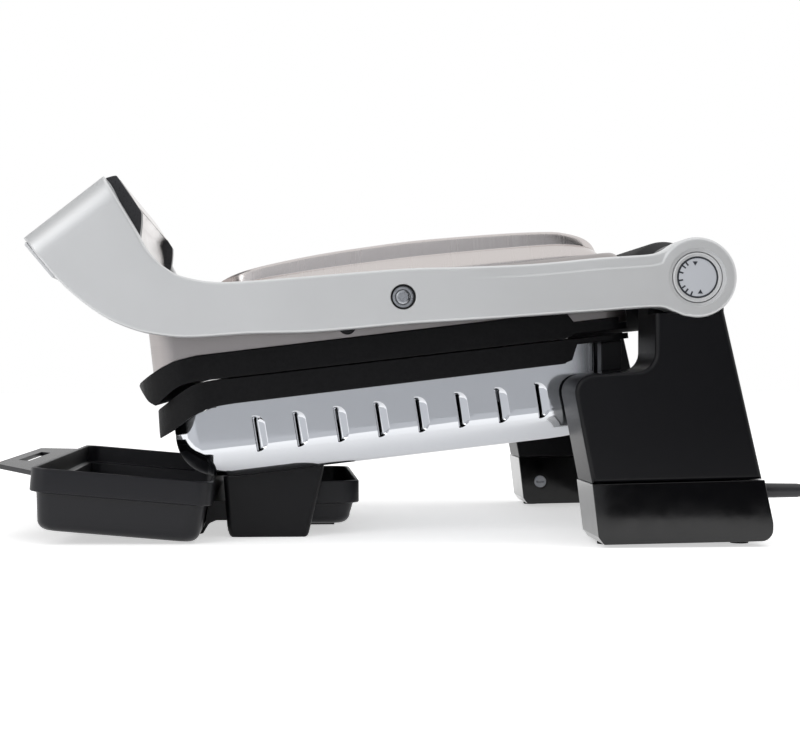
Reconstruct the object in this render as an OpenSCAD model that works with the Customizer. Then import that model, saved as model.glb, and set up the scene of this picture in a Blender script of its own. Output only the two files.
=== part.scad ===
// Electric contact grill: a tilted louvred pan with a ribbed plate on a front
// stand and two rear legs, and a floating upper plate carried in a U-shaped
// cast frame whose front is the control handle. Millimetres, +X to the rear,
// +Z up, the table at Z = 0, the origin under the middle of the machine.

/* [Overall] */
// Width across the two leg bases
width = 345; // [335:1:355]
// Height of the lid hinge axis above the table
hinge_z = 141.2; // [140:0.1:144]
// Tilt of the cooking plates, rising to the rear, in degrees
tilt = 6.6; // [6.2:0.1:7]
// Drop of the cooking plane below the hinge axis
plane_drop = 24.5; // [24:0.1:25]

/* [Lid frame] */
// Handle's front edge in front of the hinge axis
reach = 349.5; // [347:0.5:354]
// Handle's front edge above the hinge axis
handle_rise = 19.2; // [17:0.1:22]
// Thickness of a cast arm
arm_t = 22; // [20:0.5:24]
// Arm face inside the leg base's outer face
arm_inset = 0.7; // [0.5:0.1:1.5]
// Radius of the round boss at an arm's hinge end
boss_r = 21.1; // [20:0.1:22]
// Radius of the steel hinge pins
pin_r = 6; // [5:0.5:7]
// Wall of the bronze hinge bushes
bush_wall = 1.8; // [1.5:0.1:2.5]
// Running clearance of every pivot, on the radius
run_gap = 0.05; // [0.03:0.01:0.08]
// Upper plate's pivot in front of the hinge axis
pivot_back = 154.2; // [150:0.5:158]
// Upper plate's pivot below the hinge axis
pivot_drop = 10.6; // [10:0.1:12]
// Radius of the pivot screw's shank
pivot_r = 4; // [3.5:0.1:4.5]
// Radius of the pivot screw's head
pivot_head_r = 5; // [4.8:0.1:5.4]
// Wall of the hollow handle
handle_wall = 2.5; // [2:0.1:3]

/* [Hinge face] */
// Radius of the push button in the right boss
button_r = 10.6; // [9.5:0.1:11]
// Width of the bright ring round the button
ring_w = 2.4; // [2:0.1:2.8]
// Gap between the button and its ring
button_gap = 0.3; // [0.25:0.05:0.4]
// Travel of the push button
button_travel = 2.5; // [2:0.1:3]

/* [Plates] */
// Edge of the plates proud of the housing, each side
plate_lip = 2; // [0:0.1:3]
// Depth of the cooking field below a plate's rim
field_drop = 8; // [7.5:0.1:8.5]
// Height of a cooking rib
rib_h = 4.2; // [3.5:0.1:4.5]
// Spacing of the ribs
rib_pitch = 12; // [11:0.5:14]
// Metal thickness of the plate
plate_t = 3; // [2.5:0.1:3.5]
// Gap between the closed rims
rim_gap = 0.5; // [0.4:0.1:0.8]

/* [Pan] */
// Gap between the louvred pan and each rear leg
pan_gap = 4.5; // [3.5:0.1:7.5]
// Depth of the pan's floor below the cooking plane
pan_drop = 54; // [53:0.5:55]
// Radius of the pan's floor edges and corners
pan_r = 24; // [20:1:26]
// Sheet thickness of the pan
sheet = 1.5; // [1.2:0.1:2]
// Louvres along each side
louvre_n = 8; // [6:1:8]
// Spacing of the louvres
louvre_pitch = 22.2; // [20:0.1:23]
// Height of a louvre
louvre_h = 20; // [17:0.5:21]

/* [Upper housing] */
// Gap between the upper housing and each arm
hood_gap = 6.8; // [5.8:0.1:9.8]
// Height of the housing's shoulder above the cooking plane
hood_h = 44; // [43:0.5:45]
// Wall of the housing
hood_wall = 2.5; // [2:0.1:3]
// Housing's shoulder beside the domed steel cover
dome_margin = 21; // [20:0.5:25]
// Height of the dome above the housing's shoulder
dome_h = 19; // [17:0.5:21]

/* [Legs] */
// Width of a rear leg
leg_w = 48; // [46:0.5:49]
// Wall of a rear leg
leg_wall = 3; // [2.5:0.1:3.5]
// Height of the seam between a leg and its base
seam_z = 33.5; // [31:0.5:35]
// Height of the rubber feet
foot_h = 2.4; // [2:0.1:3]
// Radius of a rubber foot
foot_r = 5; // [4:0.5:5.5]

/* [Trays] */
// Width of the front drip tray
tray_w = 290; // [280:1:292]
// Length of the front drip tray
tray_l = 96.5; // [94:0.5:98]
// Height of the front drip tray
tray_h = 33.4; // [32.5:0.1:34]
// Tilt of the front tray, its front raised, in degrees
tray_tilt = 5.1; // [4.8:0.1:5.5]
// Wall of both trays
tray_wall = 2; // [1.8:0.1:2.4]
// Gap beside the spare tray stored under the pan
spare_gap = 3; // [2:0.5:4]
// Length of the spare tray
spare_l = 68; // [64:1:70]
// Height of the spare tray
spare_h = 25; // [24:0.5:26]

/* [Cord] */
// Diameter of the mains cord
cord_d = 7; // [6.5:0.1:7.5]
// Diameter of the stored coil at the middle of its turns
coil_d = 80; // [76:1:84]

/* [Hidden] */
$fn = 64;

// Small clearances: parts that only face each other, and seated faces
gap = 0.3;
seat = 0.3;
half_w = width / 2;

// --- Places along the machine, measured from the hinge axis ---
rear_x = 38.7;
tray_back_x = -256;
pull_l = 24.5;
pull_t = 4;
pull_drop = 2.4;
pull_in = 47;
rim_h = 13;
rim_step = 3.5;
draft = 1.5;
front_x = tray_back_x - (tray_l + pull_l) * cos(tray_tilt)
          + (tray_h - pull_drop - pull_t) * sin(tray_tilt);
hinge_x = -(front_x + rear_x) / 2;
plane_z = hinge_z - plane_drop;

// --- Outlines ---
// Catmull-Rom curve through the points p, n steps to each stretch
function knot(p, i) = p[max(0, min(len(p) - 1, i))];
function spline(p, n) = concat(
  [for (i = [0 : len(p) - 2], k = [0 : n - 1])
    let (t = k / n, a = knot(p, i - 1), b = knot(p, i),
         c = knot(p, i + 1), d = knot(p, i + 2))
    0.5 * (2 * b + t * (c - a) + t * t * (2 * a - 5 * b + 4 * c - d)
           + t * t * t * (3 * b - a - 3 * c + d))],
  [p[len(p) - 1]]);
// Arc round c with radius r, from angle a0 to a1
function arc(c, r, a0, a1, n = 8) =
  [for (i = [0 : n]) let (a = a0 + (a1 - a0) * i / n)
    c + r * [cos(a), sin(a)]];

// --- Placing ---
module pair() {
  children();
  mirror([0, 1, 0]) children();
}
// Everything below the lid: X from the hinge axis
module at_hinge() {
  translate([hinge_x, 0, 0]) children();
}
// X along the tilted cooking plane, Z square to it
module on_plane() {
  translate([hinge_x, 0, plane_z]) rotate([0, -tilt, 0]) children();
}
// A side outline [x, z] carried from y0 to y1
module slab(y0, y1) {
  translate([0, y1, 0]) rotate([90, 0, 0]) linear_extrude(y1 - y0) children();
}
// An end outline [y, z] carried from x0 to x1
module along(x0, x1) {
  translate([x0, 0, 0]) rotate([90, 0, 90]) linear_extrude(x1 - x0)
    children();
}
// A round bar across the machine
module bar(r, x, z, y0, y1) {
  translate([x, y0, z]) rotate([-90, 0, 0]) cylinder(r = r, h = y1 - y0);
}
// A rectangle from corner a to corner b with rounded corners
module round_rect(a, b, r) {
  translate([a[0] + r, a[1]]) square([b[0] - a[0] - 2 * r, b[1] - a[1]]);
  translate([a[0], a[1] + r]) square([b[0] - a[0], b[1] - a[1] - 2 * r]);
  for (x = [a[0] + r, b[0] - r], y = [a[1] + r, b[1] - r])
    translate([x, y]) circle(r = r);
}

// ---------------------------------------------------------------- legs
leg_y1 = half_w - arm_inset - 1.3;
leg_y0 = leg_y1 - leg_w;
arm_y1 = half_w - arm_inset;
arm_y0 = arm_y1 - arm_t;
ear_y1 = arm_y0 - gap;
notch_z = hinge_z - 50.8;
leg_front_x = -63.5;
notch_x = -22;
ear_r = boss_r - 0.6;
arm_low = 15.3;
pin_in = 14;
pan_y = leg_y0 - pan_gap;
hood_y = arm_y0 - hood_gap;
plate_y = hood_y + plate_lip;
dome_y = hood_y - dome_margin;

function leg_outline() = concat(
  [[-55.2, seam_z], [leg_front_x, notch_z - 14.5]],
  arc([leg_front_x + 9.5, notch_z - 9.5], 9.5, 175, 100, 5),
  [[-38, notch_z + 1]],
  arc([notch_x - 10, notch_z + 12], 10, -80, 0, 6),
  [[notch_x, hinge_z], [13, hinge_z], [13, hinge_z - 18], [33.2, seam_z]]);

// Casing of one rear leg, open underneath, with the hinge ear inboard
module leg() {
  color("#232327") at_hinge() difference() {
    union() {
      slab(leg_y0, leg_y1) polygon(leg_outline());
      bar(ear_r, 0, hinge_z, leg_y0, ear_y1);
    }
    // Room for the arm and its boss outside the ear
    bar(boss_r + gap, 0, hinge_z, ear_y1, half_w);
    slab(ear_y1, half_w) polygon([
      [-60, hinge_z - arm_low - 3.6], [-10, hinge_z - arm_low - 3.6], [0, hinge_z],
      [16, hinge_z - 12], [60, hinge_z - 8], [60, hinge_z + 40],
      [-60, hinge_z + 40]]);
    // Hollow casing under the notch
    slab(leg_y0 + leg_wall, leg_y1 - leg_wall) polygon([
      [-55.2 + leg_wall, seam_z - 1], [leg_front_x + leg_wall + 1.5, notch_z - 12],
      [-50, notch_z - leg_wall - 2], [16.5, notch_z - leg_wall - 2],
      [33.2 - leg_wall, seam_z - 1]]);
    bar(pin_r, 0, hinge_z, leg_y0 - 1, half_w);
    // Clearance for the pan's spacer screw
    bar(screw_r, spacer_x, spacer_z, leg_y0 - 1, leg_y0 + leg_wall + 1);
  }
}
module left_leg() leg();
module right_leg() mirror([0, 1, 0]) leg();

base_z0 = foot_h - 0.6;
screw_r = 2;
spacer_x = -55;
spacer_z = 80.5;
base_wall = 2.5;
boss_x = -41;
base_screw_r = 1.8;
// Cup that closes a leg underneath, with a screw boss on its inner face
module leg_base() {
  outline = concat([[-55.6, seam_z], [-59, 8], [-56.5, base_z0 + 1.6],
                    [-50.4, base_z0], [31, base_z0]],
                   arc([33.2, base_z0 + 5.4], 5.4, -80, 0, 5),
                   [[37.6, 20], [33.6, seam_z]]);
  color("#1b1b1f") at_hinge() difference() {
    slab(leg_y0 - 0.8, half_w) polygon(outline);
    slab(leg_y0 - 0.8 + base_wall, half_w - base_wall) polygon([
      [-53, seam_z + 1], [-55.5, 9], [-50, base_z0 + base_wall],
      [32, base_z0 + base_wall], [34.6, 20], [31, seam_z + 1]]);
    // Recess round the screw head on the inner face
    bar(5.2, boss_x, 17, leg_y0 - 2, leg_y0 + 0.6);
    bar(base_screw_r, boss_x, 17, leg_y0, leg_y0 + base_wall);
    for (x = foot_xs) translate([x, (leg_y0 + half_w) / 2, base_z0 - 1])
      cylinder(r = 3, h = base_wall + 2);
  }
}
foot_xs = [-44, 28];
cord_exit_z = 28;
cord_y = leg_y0 + 24.5;
relief_r = 5.2;
module left_leg_base() leg_base();
module right_leg_base() {
  color("#1b1b1f") difference() {
    mirror([0, 1, 0]) leg_base();
    // Hole that the strain relief fills
    translate([hinge_x + 25, -cord_y, cord_exit_z]) rotate([0, 90, 0])
      cylinder(r = relief_r, h = 20);
  }
}

// Hollow cross-member between the legs, open underneath
bridge_y = leg_y0 - 1;
module rear_bridge() {
  color("#26262a") at_hinge() difference() {
    slab(-bridge_y, bridge_y) polygon(concat(
      [[-8, 6], [-8, notch_z - 12]],
      arc([-3, notch_z - 12], 5, 180, 90, 5),
      arc([14, notch_z - 12], 5, 90, 15, 5),
      [[35, 20], [35, 6]]));
    slab(3 - bridge_y, bridge_y - 3) polygon([
      [-5, 5], [-5, notch_z - 12], [-3, notch_z - 10], [15, notch_z - 10],
      [31.8, 19], [31.8, 5]]);
    // Cooling slots in the rear wall
    for (i = [-6 : 6]) translate([15, i * 15 - 2, 42]) cube([20, 4, 22]);
  }
}

// Tube over the wiring between the two hinge ears
barrel_y = leg_y0 - 0.3;
module hinge_barrel() {
  color("#1d1d20") at_hinge() translate([0, 0, hinge_z]) rotate([-90, 0, 0])
    rotate_extrude() polygon(concat(
      [[pin_r, -barrel_y], [19, -barrel_y], [23.6, 30.2 - barrel_y],
       [24.4, 36.2 - barrel_y]],
      [[24.6, 0], [24.4, barrel_y - 36.2], [23.6, barrel_y - 30.2],
       [19, barrel_y], [pin_r, barrel_y], [pin_r, barrel_y - 9],
       [16, barrel_y - 9], [21, barrel_y - 36.2], [21, 36.2 - barrel_y],
       [16, 9 - barrel_y], [pin_r, 9 - barrel_y]]));
}
// Steel pins, fixed in the ears, that the arms turn on
module hinge_pins() {
  color("#b9bbbe") at_hinge() pair()
    bar(pin_r, 0, hinge_z, leg_y0 - pin_in, arm_y0 + bush_l);
}
bush_l = 10;
module hinge_bushes() {
  color("#b08a4a") at_hinge() pair() difference() {
    bar(pin_r + bush_wall, 0, hinge_z, arm_y0, arm_y0 + bush_l);
    bar(pin_r + run_gap, 0, hinge_z, arm_y0 - 1, arm_y0 + bush_l + 1);
  }
}

// ---------------------------------------------------------------- pan
pan_x0 = -280;
pan_x1 = -34;
pan_top = -field_drop - plate_t - seat;
pan_floor = pan_r - pan_drop - (pan_r - sheet) * cos(90 / 16);
rim_x = -60;
rim_t = 3;
// Solid of the pan's outer form, shrunk by d, with its top at z1
module pan_form(d, z1) {
  r = pan_r - d;
  hull() {
    for (x = [pan_x0 + pan_r, pan_x1 - pan_r], y = [pan_r - pan_y, pan_y - pan_r])
      translate([x, y, pan_r - pan_drop]) {
        sphere(r = r, $fn = 32);
        cylinder(r = r, h = pan_drop - pan_r + z1, $fn = 32);
      }
  }
}
louvre_x0 = -78.6 - (louvre_n - 1) * louvre_pitch;
louvre_z = -32;
louvre_r = 3.2;
louvre_out = 1.7;
module louvre_capsule(r) {
  h = louvre_h - 2 * louvre_r;
  translate([0, 0, -h / 2]) cylinder(r = r, h = h);
  for (s = [-1, 1]) translate([0, 0, s * h / 2]) sphere(r = r);
}
module louvre_place(i) {
  translate([louvre_x0 + i * louvre_pitch, louvre_out - louvre_r + pan_y,
             louvre_z]) children();
}
// Deep-drawn polished pan with pressed louvres along both sides
module lower_pan() {
  color("#b9bec3") on_plane() difference() {
    union() {
      pan_form(0, 0);
      pair() for (i = [0 : louvre_n - 1]) louvre_place(i)
        louvre_capsule(louvre_r);
    }
    pan_form(sheet, 10);
    // The walls stop under the plate, and reach into its hollow underside
    slab(-half_w, half_w) polygon([
      [-300, 20], [-300, lip_under[0][1] - seat - 12],
      for (p = lip_under) [p[0], p[1] - seat],
      [pocket_x[0] + seat, lip_under[2][1] - seat], [pocket_x[0] + seat, pan_top],
      [pocket_x[1] - seat, pan_top], [pocket_x[1] - seat, body_z - seat],
      [-63, body_z - seat], [rim_x + 2, -rim_t - half_gap - seat],
      [0, -rim_t - half_gap - seat], [0, 20]]);
    // Each louvre is hollow and open to the front
    pair() for (i = [0 : louvre_n - 1]) louvre_place(i) {
      translate([-1.2, 0, 0]) louvre_capsule(louvre_r - 1.1);
      translate([-4.2, louvre_r - louvre_out, 3 - louvre_h / 2])
        cube([3.2, louvre_r, louvre_h - 6]);
    }
    // Holes for the spacer screws
    pair() translate([spacer_local[0], pan_y + 1, spacer_local[1]])
      rotate([90, 0, 0]) cylinder(r = screw_r, h = sheet + 2);
  }
}
spacer_local = [
  spacer_x * cos(tilt) + (spacer_z - plane_z) * sin(tilt),
  (spacer_z - plane_z) * cos(tilt) - spacer_x * sin(tilt)];
// Sleeves and screws that hold the pan between the legs
module pan_spacers() {
  color("#9a9da1") at_hinge() pair() {
    bar(6, spacer_x, spacer_z, pan_y + 0.05, leg_y0);
    bar(screw_r, spacer_x, spacer_z, pan_y - sheet - 2, leg_y0 + leg_wall);
    bar(3.6, spacer_x, spacer_z, pan_y - sheet - 3.5, pan_y - sheet - 0.5);
  }
}

// ---------------------------------------------------------------- plates
plate_x0 = -287.6;
plate_x1 = -30;
plate_r = 12;
field_x0 = -252;
field_x1 = -68;
field_y = plate_y - 12;
spout_y = 17;
rib_w = 5;
half_gap = rim_gap / 2;
pocket_x = [-256, -66];
body_z = -13;
lip_under = [[-278, -23.5], [-266, -17], [-258, -14.8]];
module plate_plan(x0) {
  translate([0, 0, -60]) linear_extrude(120)
    round_rect([x0, -plate_y], [plate_x1, plate_y], plate_r);
}
// Ribs standing on a field at height 0
module ribs() {
  n = floor((field_y - rib_w) / rib_pitch);
  for (i = [-n : n]) along(field_x0 + 5, field_x1 - 4)
    translate([i * rib_pitch, 0]) polygon([
      [-rib_w / 2, -0.2], [rib_w / 2, -0.2], [1.1, rib_h - 0.6], [0.5, rib_h],
      [-0.5, rib_h], [-1.1, rib_h - 0.6]]);
}
// Cast lower plate: sunken ribbed field, drooping front and drip spout
module lower_grill_plate() {
  color("#2a2a2c") on_plane() {
    difference() {
      intersection() {
        slab(-plate_y, plate_y) polygon([
          [plate_x1, -half_gap], [-262, -half_gap], [-270, -2.2], [-278, -6.2],
          [plate_x0 + 1.2, -11.5], [plate_x0, -13.5], [plate_x0, -28],
          each lip_under, [-69, body_z], [-63.5, -11.5],
          [rim_x + 1, -rim_t - half_gap], [plate_x1, -rim_t - half_gap]]);
        plate_plan(plate_x0);
      }
      // Cooking field with sloping sides
      hull() {
        translate([0, 0, -field_drop]) linear_extrude(1)
          round_rect([field_x0, -field_y], [field_x1, field_y], 8);
        translate([0, 0, 1]) linear_extrude(1)
          round_rect([field_x0 - 3, -field_y - 3], [field_x1 + 3, field_y + 3], 11);
      }
      // Channel that takes the fat over the front lip
      slab(-spout_y, spout_y) polygon([
        [field_x0 + 2, 5], [field_x0 + 2, -field_drop], [-268, -field_drop - 2],
        [-280, -16], [plate_x0 - 2, -21], [plate_x0 - 2, 5]]);
      // Underside is hollow up to the metal's thickness
      slab(-plate_y + 4, plate_y - 4) polygon([
        [pocket_x[0], -30], [pocket_x[0], -field_drop - plate_t],
        [pocket_x[1], -field_drop - plate_t], [pocket_x[1], -30]]);
    }
    translate([0, 0, -field_drop]) ribs();
  }
}
hood_x0 = -286.5;
hood_x1 = -29;
function upper_top(g) = [
  [plate_x0, 6.6 + g], [-281, 9.6 + g], [-274.2, 12 + g], [-262, 13.7 + g],
  [-64, 14.5 + g], [-58.5, 5.6 + g], [plate_x1, 5.6 + g]];
// Cast upper plate, its ribs facing down
module upper_grill_plate() {
  color("#242427") on_plane() {
    difference() {
      intersection() {
        slab(-plate_y, plate_y) polygon(concat(upper_top(0), [
          [plate_x1, 2.2], [-60, 2.2], [-66, half_gap], [-262, half_gap],
          [-270, -1.7], [-278, -5.6], [plate_x0 + 1, -10], [-290.5, -7.5],
          [-295.3, 1.3], [-294.5, 2.6]]));
        plate_plan(-295.4);
      }
      hull() {
        translate([0, 0, field_drop - 1]) linear_extrude(1)
          round_rect([field_x0, -field_y], [field_x1, field_y], 8);
        translate([0, 0, -2]) linear_extrude(1)
          round_rect([field_x0 - 3, -field_y - 3], [field_x1 + 3, field_y + 3], 11);
      }
      slab(-plate_y + 4, plate_y - 4) polygon([
        [pocket_x[0], 30], [pocket_x[0], field_drop + plate_t],
        [pocket_x[1] - 2, field_drop + plate_t], [pocket_x[1] - 2, 30]]);
    }
    translate([0, 0, field_drop]) mirror([0, 0, 1]) ribs();
  }
}

// Tubular heater: four runs joined by bends, its tails turned away from
// the plate at the rear
heater_r = 3.4;
heater_y = [pan_y - 22, (pan_y - 22) / 3];
heater_x1 = -104;
module heater() {
  bend = (heater_y[0] - heater_y[1]) / 2;
  x0 = -236 + bend;
  x1 = heater_x1;
  pair() {
    for (y = heater_y) translate([x0, y, 0]) rotate([0, 90, 0])
      cylinder(r = heater_r, h = x1 - x0);
    translate([x0, (heater_y[0] + heater_y[1]) / 2, 0]) rotate([0, 0, 90])
      rotate_extrude(angle = 180) translate([bend, 0]) circle(r = heater_r);
    translate([x1, heater_y[0], -8]) rotate([90, 0, 0])
      rotate_extrude(angle = 90) translate([8, 0]) circle(r = heater_r);
    translate([x1 + 8, heater_y[0], -11]) cylinder(r = 2.2, h = 3);
  }
  translate([x1, 0, 0]) rotate([0, 0, -90]) rotate_extrude(angle = 180)
    translate([heater_y[1], 0]) circle(r = heater_r);
}
heater_z = field_drop + plate_t + gap + heater_r;
reflect_z = 32;
module lower_element() {
  color("#6d6660") on_plane() translate([0, 0, -heater_z]) heater();
}
module upper_element() {
  color("#6d6660") on_plane() translate([0, 0, heater_z]) mirror([0, 0, 1])
    heater();
}
// Bright sheet under a heater, on legs of length leg, with saddles for it
module reflector(leg, rise, y1, leg_y) {
  x0 = -262;
  x1 = -52;
  difference() {
    translate([0, 0, -0.8]) linear_extrude(0.8)
      round_rect([x0, -y1], [x1, y1], 10);
    pair() translate([heater_x1 + 8, heater_y[0], -2]) cylinder(r = 6, h = 4);
  }
  for (x = [x0 + 20, x1 - 20], y = [-leg_y, leg_y])
    translate([x, y, -leg]) cylinder(r = 3, h = leg);
  for (x = [-184, -120], y = [-heater_y[1], heater_y[1]])
    translate([x - 2, y - 5, 0]) difference() {
      cube([4, 10, rise]);
      translate([-1, 5, rise]) rotate([0, 90, 0])
        cylinder(r = heater_r, h = 6);
    }
}
module lower_reflector() {
  color("#c9ccd0") on_plane() translate([0, 0, -reflect_z])
    reflector(-pan_floor - reflect_z, reflect_z - heater_z,
              pan_y - 14, pan_y - 34);
}
upper_reflect_z = 23;
module upper_reflector() {
  color("#c9ccd0") on_plane() translate([0, 0, upper_reflect_z])
    mirror([0, 0, 1])
      reflector(hood_h - hood_wall - upper_reflect_z, upper_reflect_z - heater_z,
                hood_y - 16, dome_y);
}
// Spring thermostat pressed against a plate
module sensor(h) {
  translate([-150, 0, -8]) cylinder(r = 8, h = 8);
  translate([-150, 0, -h]) cylinder(r = 2.5, h = h);
}
module thermostat() {
  color("#c8b98a") on_plane()
    translate([0, 0, -field_drop - plate_t])
      sensor(reflect_z - field_drop - plate_t);
}
module upper_thermostat() {
  color("#c8b98a") on_plane() translate([0, 0, field_drop + plate_t])
    mirror([0, 0, 1]) sensor(upper_reflect_z - field_drop - plate_t);
}
module thermal_fuse() {
  color("#d8d4c6") on_plane() translate([-120, 8, 2.6 - reflect_z]) {
    rotate([90, 0, 0]) cylinder(r = 2.6, h = 18);
    translate([-2, -10, -2.6]) cube([4, 3, 2.6]);
  }
}
// Spring clips that hold each plate by its sides
module lower_plate_clips() {
  color("#a9acb0") on_plane() pair() for (x = [-215, -110]) {
    translate([x, pan_y - sheet - 1.6, -30]) cube([12, 1.6, 19]);
    translate([x, pan_y - sheet - 9, -field_drop - plate_t - 1.2])
      cube([12, 8, 1.2]);
  }
}
module upper_plate_clips() {
  color("#a9acb0") on_plane() pair() for (x = [-215, -118]) {
    translate([x, hood_y - hood_wall - 1.6, 15]) cube([12, 1.6, hood_h - 24]);
    translate([x, hood_y - hood_wall - 9, 15]) cube([12, 8, 1.2]);
  }
}
module terminal_block() {
  color("#e8e4d8") at_hinge() translate([-5, -60, 40]) difference() {
    cube([15, 36, 20]);
    for (y = [7, 18, 29]) translate([7, y, 8]) cylinder(r = 2.4, h = 20);
  }
}

// ---------------------------------------------------------------- stand
stand_y1 = pan_y - 20;
stand_y0 = stand_y1 - 15;
spare_w = 2 * (stand_y0 - spare_gap);
stand_z0 = 0;
// Top of the beam, under the front tray's step
beam_z = (tray_h - rim_h) * cos(tray_tilt) - 0.2;
// Two feet under the pan joined by a low shelf and a front beam
module front_stand() {
  color("#1e1e21") difference() {
    at_hinge() {
      pair() hull() {
        slab(stand_y0, stand_y1 - 1) polygon([
          [-245.6, stand_z0], [-202.2, stand_z0], [-201.2, 4], [-246.8, 5]]);
        slab(stand_y0, stand_y1) polygon([
          [-249.5, 45], [-192, 45], [-193, 38.5], [-249.5, 30]]);
      }
      slab(-stand_y0 - 1, stand_y0 + 1) polygon([
        [-247, 2.5], [-240, 2.5], [-186, 2.5], [-186, 5], [-240, 5], [-247, 8]]);
      slab(-stand_y1 + 3, stand_y1 - 3) polygon([
        [-262.6, 1.6], [-260.3, 2.1], [-257.3, 6.4], [-254.6, 8.8], [-251, 9.3],
        [-242.4, 9.3], [-242.4, beam_z], [-257.2, beam_z], [-260, 4],
        [-262.4, 2.1]]);
    }
    on_plane() pan_form(-seat, 20);
  }
}
module rubber_feet() {
  color("#161618") at_hinge() pair() {
    for (x = foot_xs) translate([x, (leg_y0 + half_w) / 2, 0]) {
      cylinder(r = foot_r, h = base_z0);
      cylinder(r = 3, h = base_z0 + base_wall);
    }
  }
}
// Blocks on the leg notches that carry the plate's rear rim
module rear_supports() {
  color("#17171a") at_hinge() pair() slab(leg_y0 + 4, leg_y0 + 16) polygon([
    [-45, notch_z + 1.6], [-34, notch_z + 2.6],
    [-34, plane_z - 34 * tan(tilt) - rim_t - 0.8],
    [-45, plane_z - 45 * tan(tilt) - rim_t - 0.8]]);
}
module base_screws() {
  color("#8b8e92") at_hinge() pair() {
    difference() {
      bar(4, boss_x, 17, leg_y0 - 1.6, leg_y0 + 0.6);
      translate([boss_x, leg_y0 - 0.8, 17]) cube([5, 1.8, 1], center = true);
    }
    bar(base_screw_r, boss_x, 17, leg_y0 - 0.8, leg_y0 + 8);
  }
}

// ---------------------------------------------------------------- lid frame
handle_a = [-reach, handle_rise];
function from_handle(p) = [for (q = p) handle_a + q];
// Arm's side outline from the hinge axis, without the boss
function arm_outline() = concat(
  [[0, 6], [-4, 20.2]],
  spline(concat(
    [[-9.5, 18.7], [-16.4, 14.3], [-24, 11.9], [-52.3, 10.1], [-92.8, 6.4],
     [-153.1, 4.1]],
    from_handle([[149.6, -18.9], [98.1, -22.3], [81.6, -19.5], [67.4, -10.4],
                 [57.5, 4.7]])), 3),
  from_handle([[40.9, 32.3], [0, 0]]),
  spline(concat(
    from_handle([[17, -20.3], [29.4, -31.5], [44.3, -41.9],
                 [57.5, -47.3], [69.2, -49.7], [85.6, -50.9], [116.3, -48.9],
                 [149.6, -48]]),
    [[-153.1, -24.6], [-92.8, -20.6], [-51.2, -17.7], [-20, -15.6],
     [-13, -17.6], [-7, -20]]), 3));
ring_r = button_r + button_gap + ring_w;
face_deep = 5;
button_pocket = 10;
pivot_z = hinge_z - pivot_drop;
pivot_recess_r = pivot_head_r + 1.5;
pivot_recess = 6;
module arm_side() {
  translate([0, hinge_z]) polygon(arm_outline());
  translate([0, hinge_z]) circle(r = boss_r);
}
// Cast arm with its edges eased on the outer face
module arm() {
  at_hinge() difference() {
    union() {
      slab(arm_y0, arm_y1 - 1.6) arm_side();
      slab(arm_y1 - 1.6, arm_y1 - 0.6) offset(delta = -0.5) arm_side();
      slab(arm_y1 - 0.6, arm_y1) offset(delta = -1.4) arm_side();
    }
    // Seat of the hinge bush, and the counterbore in the outer face
    bar(pin_r + bush_wall, 0, hinge_z, arm_y0 - 1, arm_y0 + bush_l);
    bar(ring_r, 0, hinge_z, arm_y1 - face_deep, arm_y1 + 1);
    // Upper plate's pivot: bore and screw recess
    bar(pivot_r, -pivot_back, pivot_z, arm_y0 - 1, arm_y1);
    bar(pivot_recess_r, -pivot_back, pivot_z, arm_y1 - pivot_recess, arm_y1 + 1);
  }
}
module left_arm() color("#c4c5c7") arm();
module right_arm() {
  color("#c4c5c7") difference() {
    mirror([0, 1, 0]) arm();
    at_hinge() bar(button_r + 1.9, 0, hinge_z, -arm_y1 + face_deep - 1,
                   -arm_y1 + button_pocket);
  }
}
// Bright ring round the push button, with its scale of ticks
module dial_ring() {
  color("#d7d8da") at_hinge() difference() {
    bar(ring_r, 0, hinge_z, -arm_y1 - 0.3, -arm_y1 + face_deep);
    bar(button_r + button_gap, 0, hinge_z, -arm_y1 - 1, -arm_y1 + face_deep + 1);
  }
}
// Button that frees the hinge so that the lid opens flat
module release_button() {
  color("#cfd0d3") at_hinge() {
    bar(button_r, 0, hinge_z, -arm_y1, -arm_y1 + 6);
    bar(button_r + 1.5, 0, hinge_z, -arm_y1 + face_deep + gap,
        -arm_y1 + button_pocket - button_travel - gap);
  }
}
module hinge_cap() {
  color("#d7d8da") at_hinge() difference() {
    bar(ring_r, 0, hinge_z, arm_y1 - face_deep, arm_y1 + 0.3);
    bar(ring_r - 2.6, 0, hinge_z, arm_y1 - 0.2, arm_y1 + 1);
  }
}
pivot_in = 14;
// Shoulder screws that carry the upper plate in the arms
module pivot_screws() {
  color("#8e9093") at_hinge() pair() difference() {
    union() {
      bar(pivot_r, -pivot_back, pivot_z, hood_y - pivot_in - 1.6,
          arm_y1 - pivot_recess + 1);
      bar(pivot_head_r, -pivot_back, pivot_z, arm_y1 - pivot_recess + 0.8,
          arm_y1 - 1.8);
      bar(pivot_r + 1.5, -pivot_back, pivot_z, hood_y - pivot_in - 1.6,
          hood_y - pivot_in - gap);
    }
    translate([-pivot_back, arm_y1 - 4, pivot_z]) rotate([-90, 0, 0])
      cylinder(r = 2.7, h = 4, $fn = 6);
  }
}
module pivot_washers() {
  color("#d4d5d7") at_hinge() pair() difference() {
    bar(pivot_recess_r - 0.2, -pivot_back, pivot_z, arm_y1 - pivot_recess,
        arm_y1 - pivot_recess + 0.8);
    bar(pivot_r, -pivot_back, pivot_z, arm_y1 - pivot_recess - 1, arm_y1);
  }
}

// ---------------------------------------------------------------- handle
handle_y = arm_y0;
pad_w = 12;
panel_l = norm([40.9, 32.3]);
panel_angle = atan2(32.3, 40.9);
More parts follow.
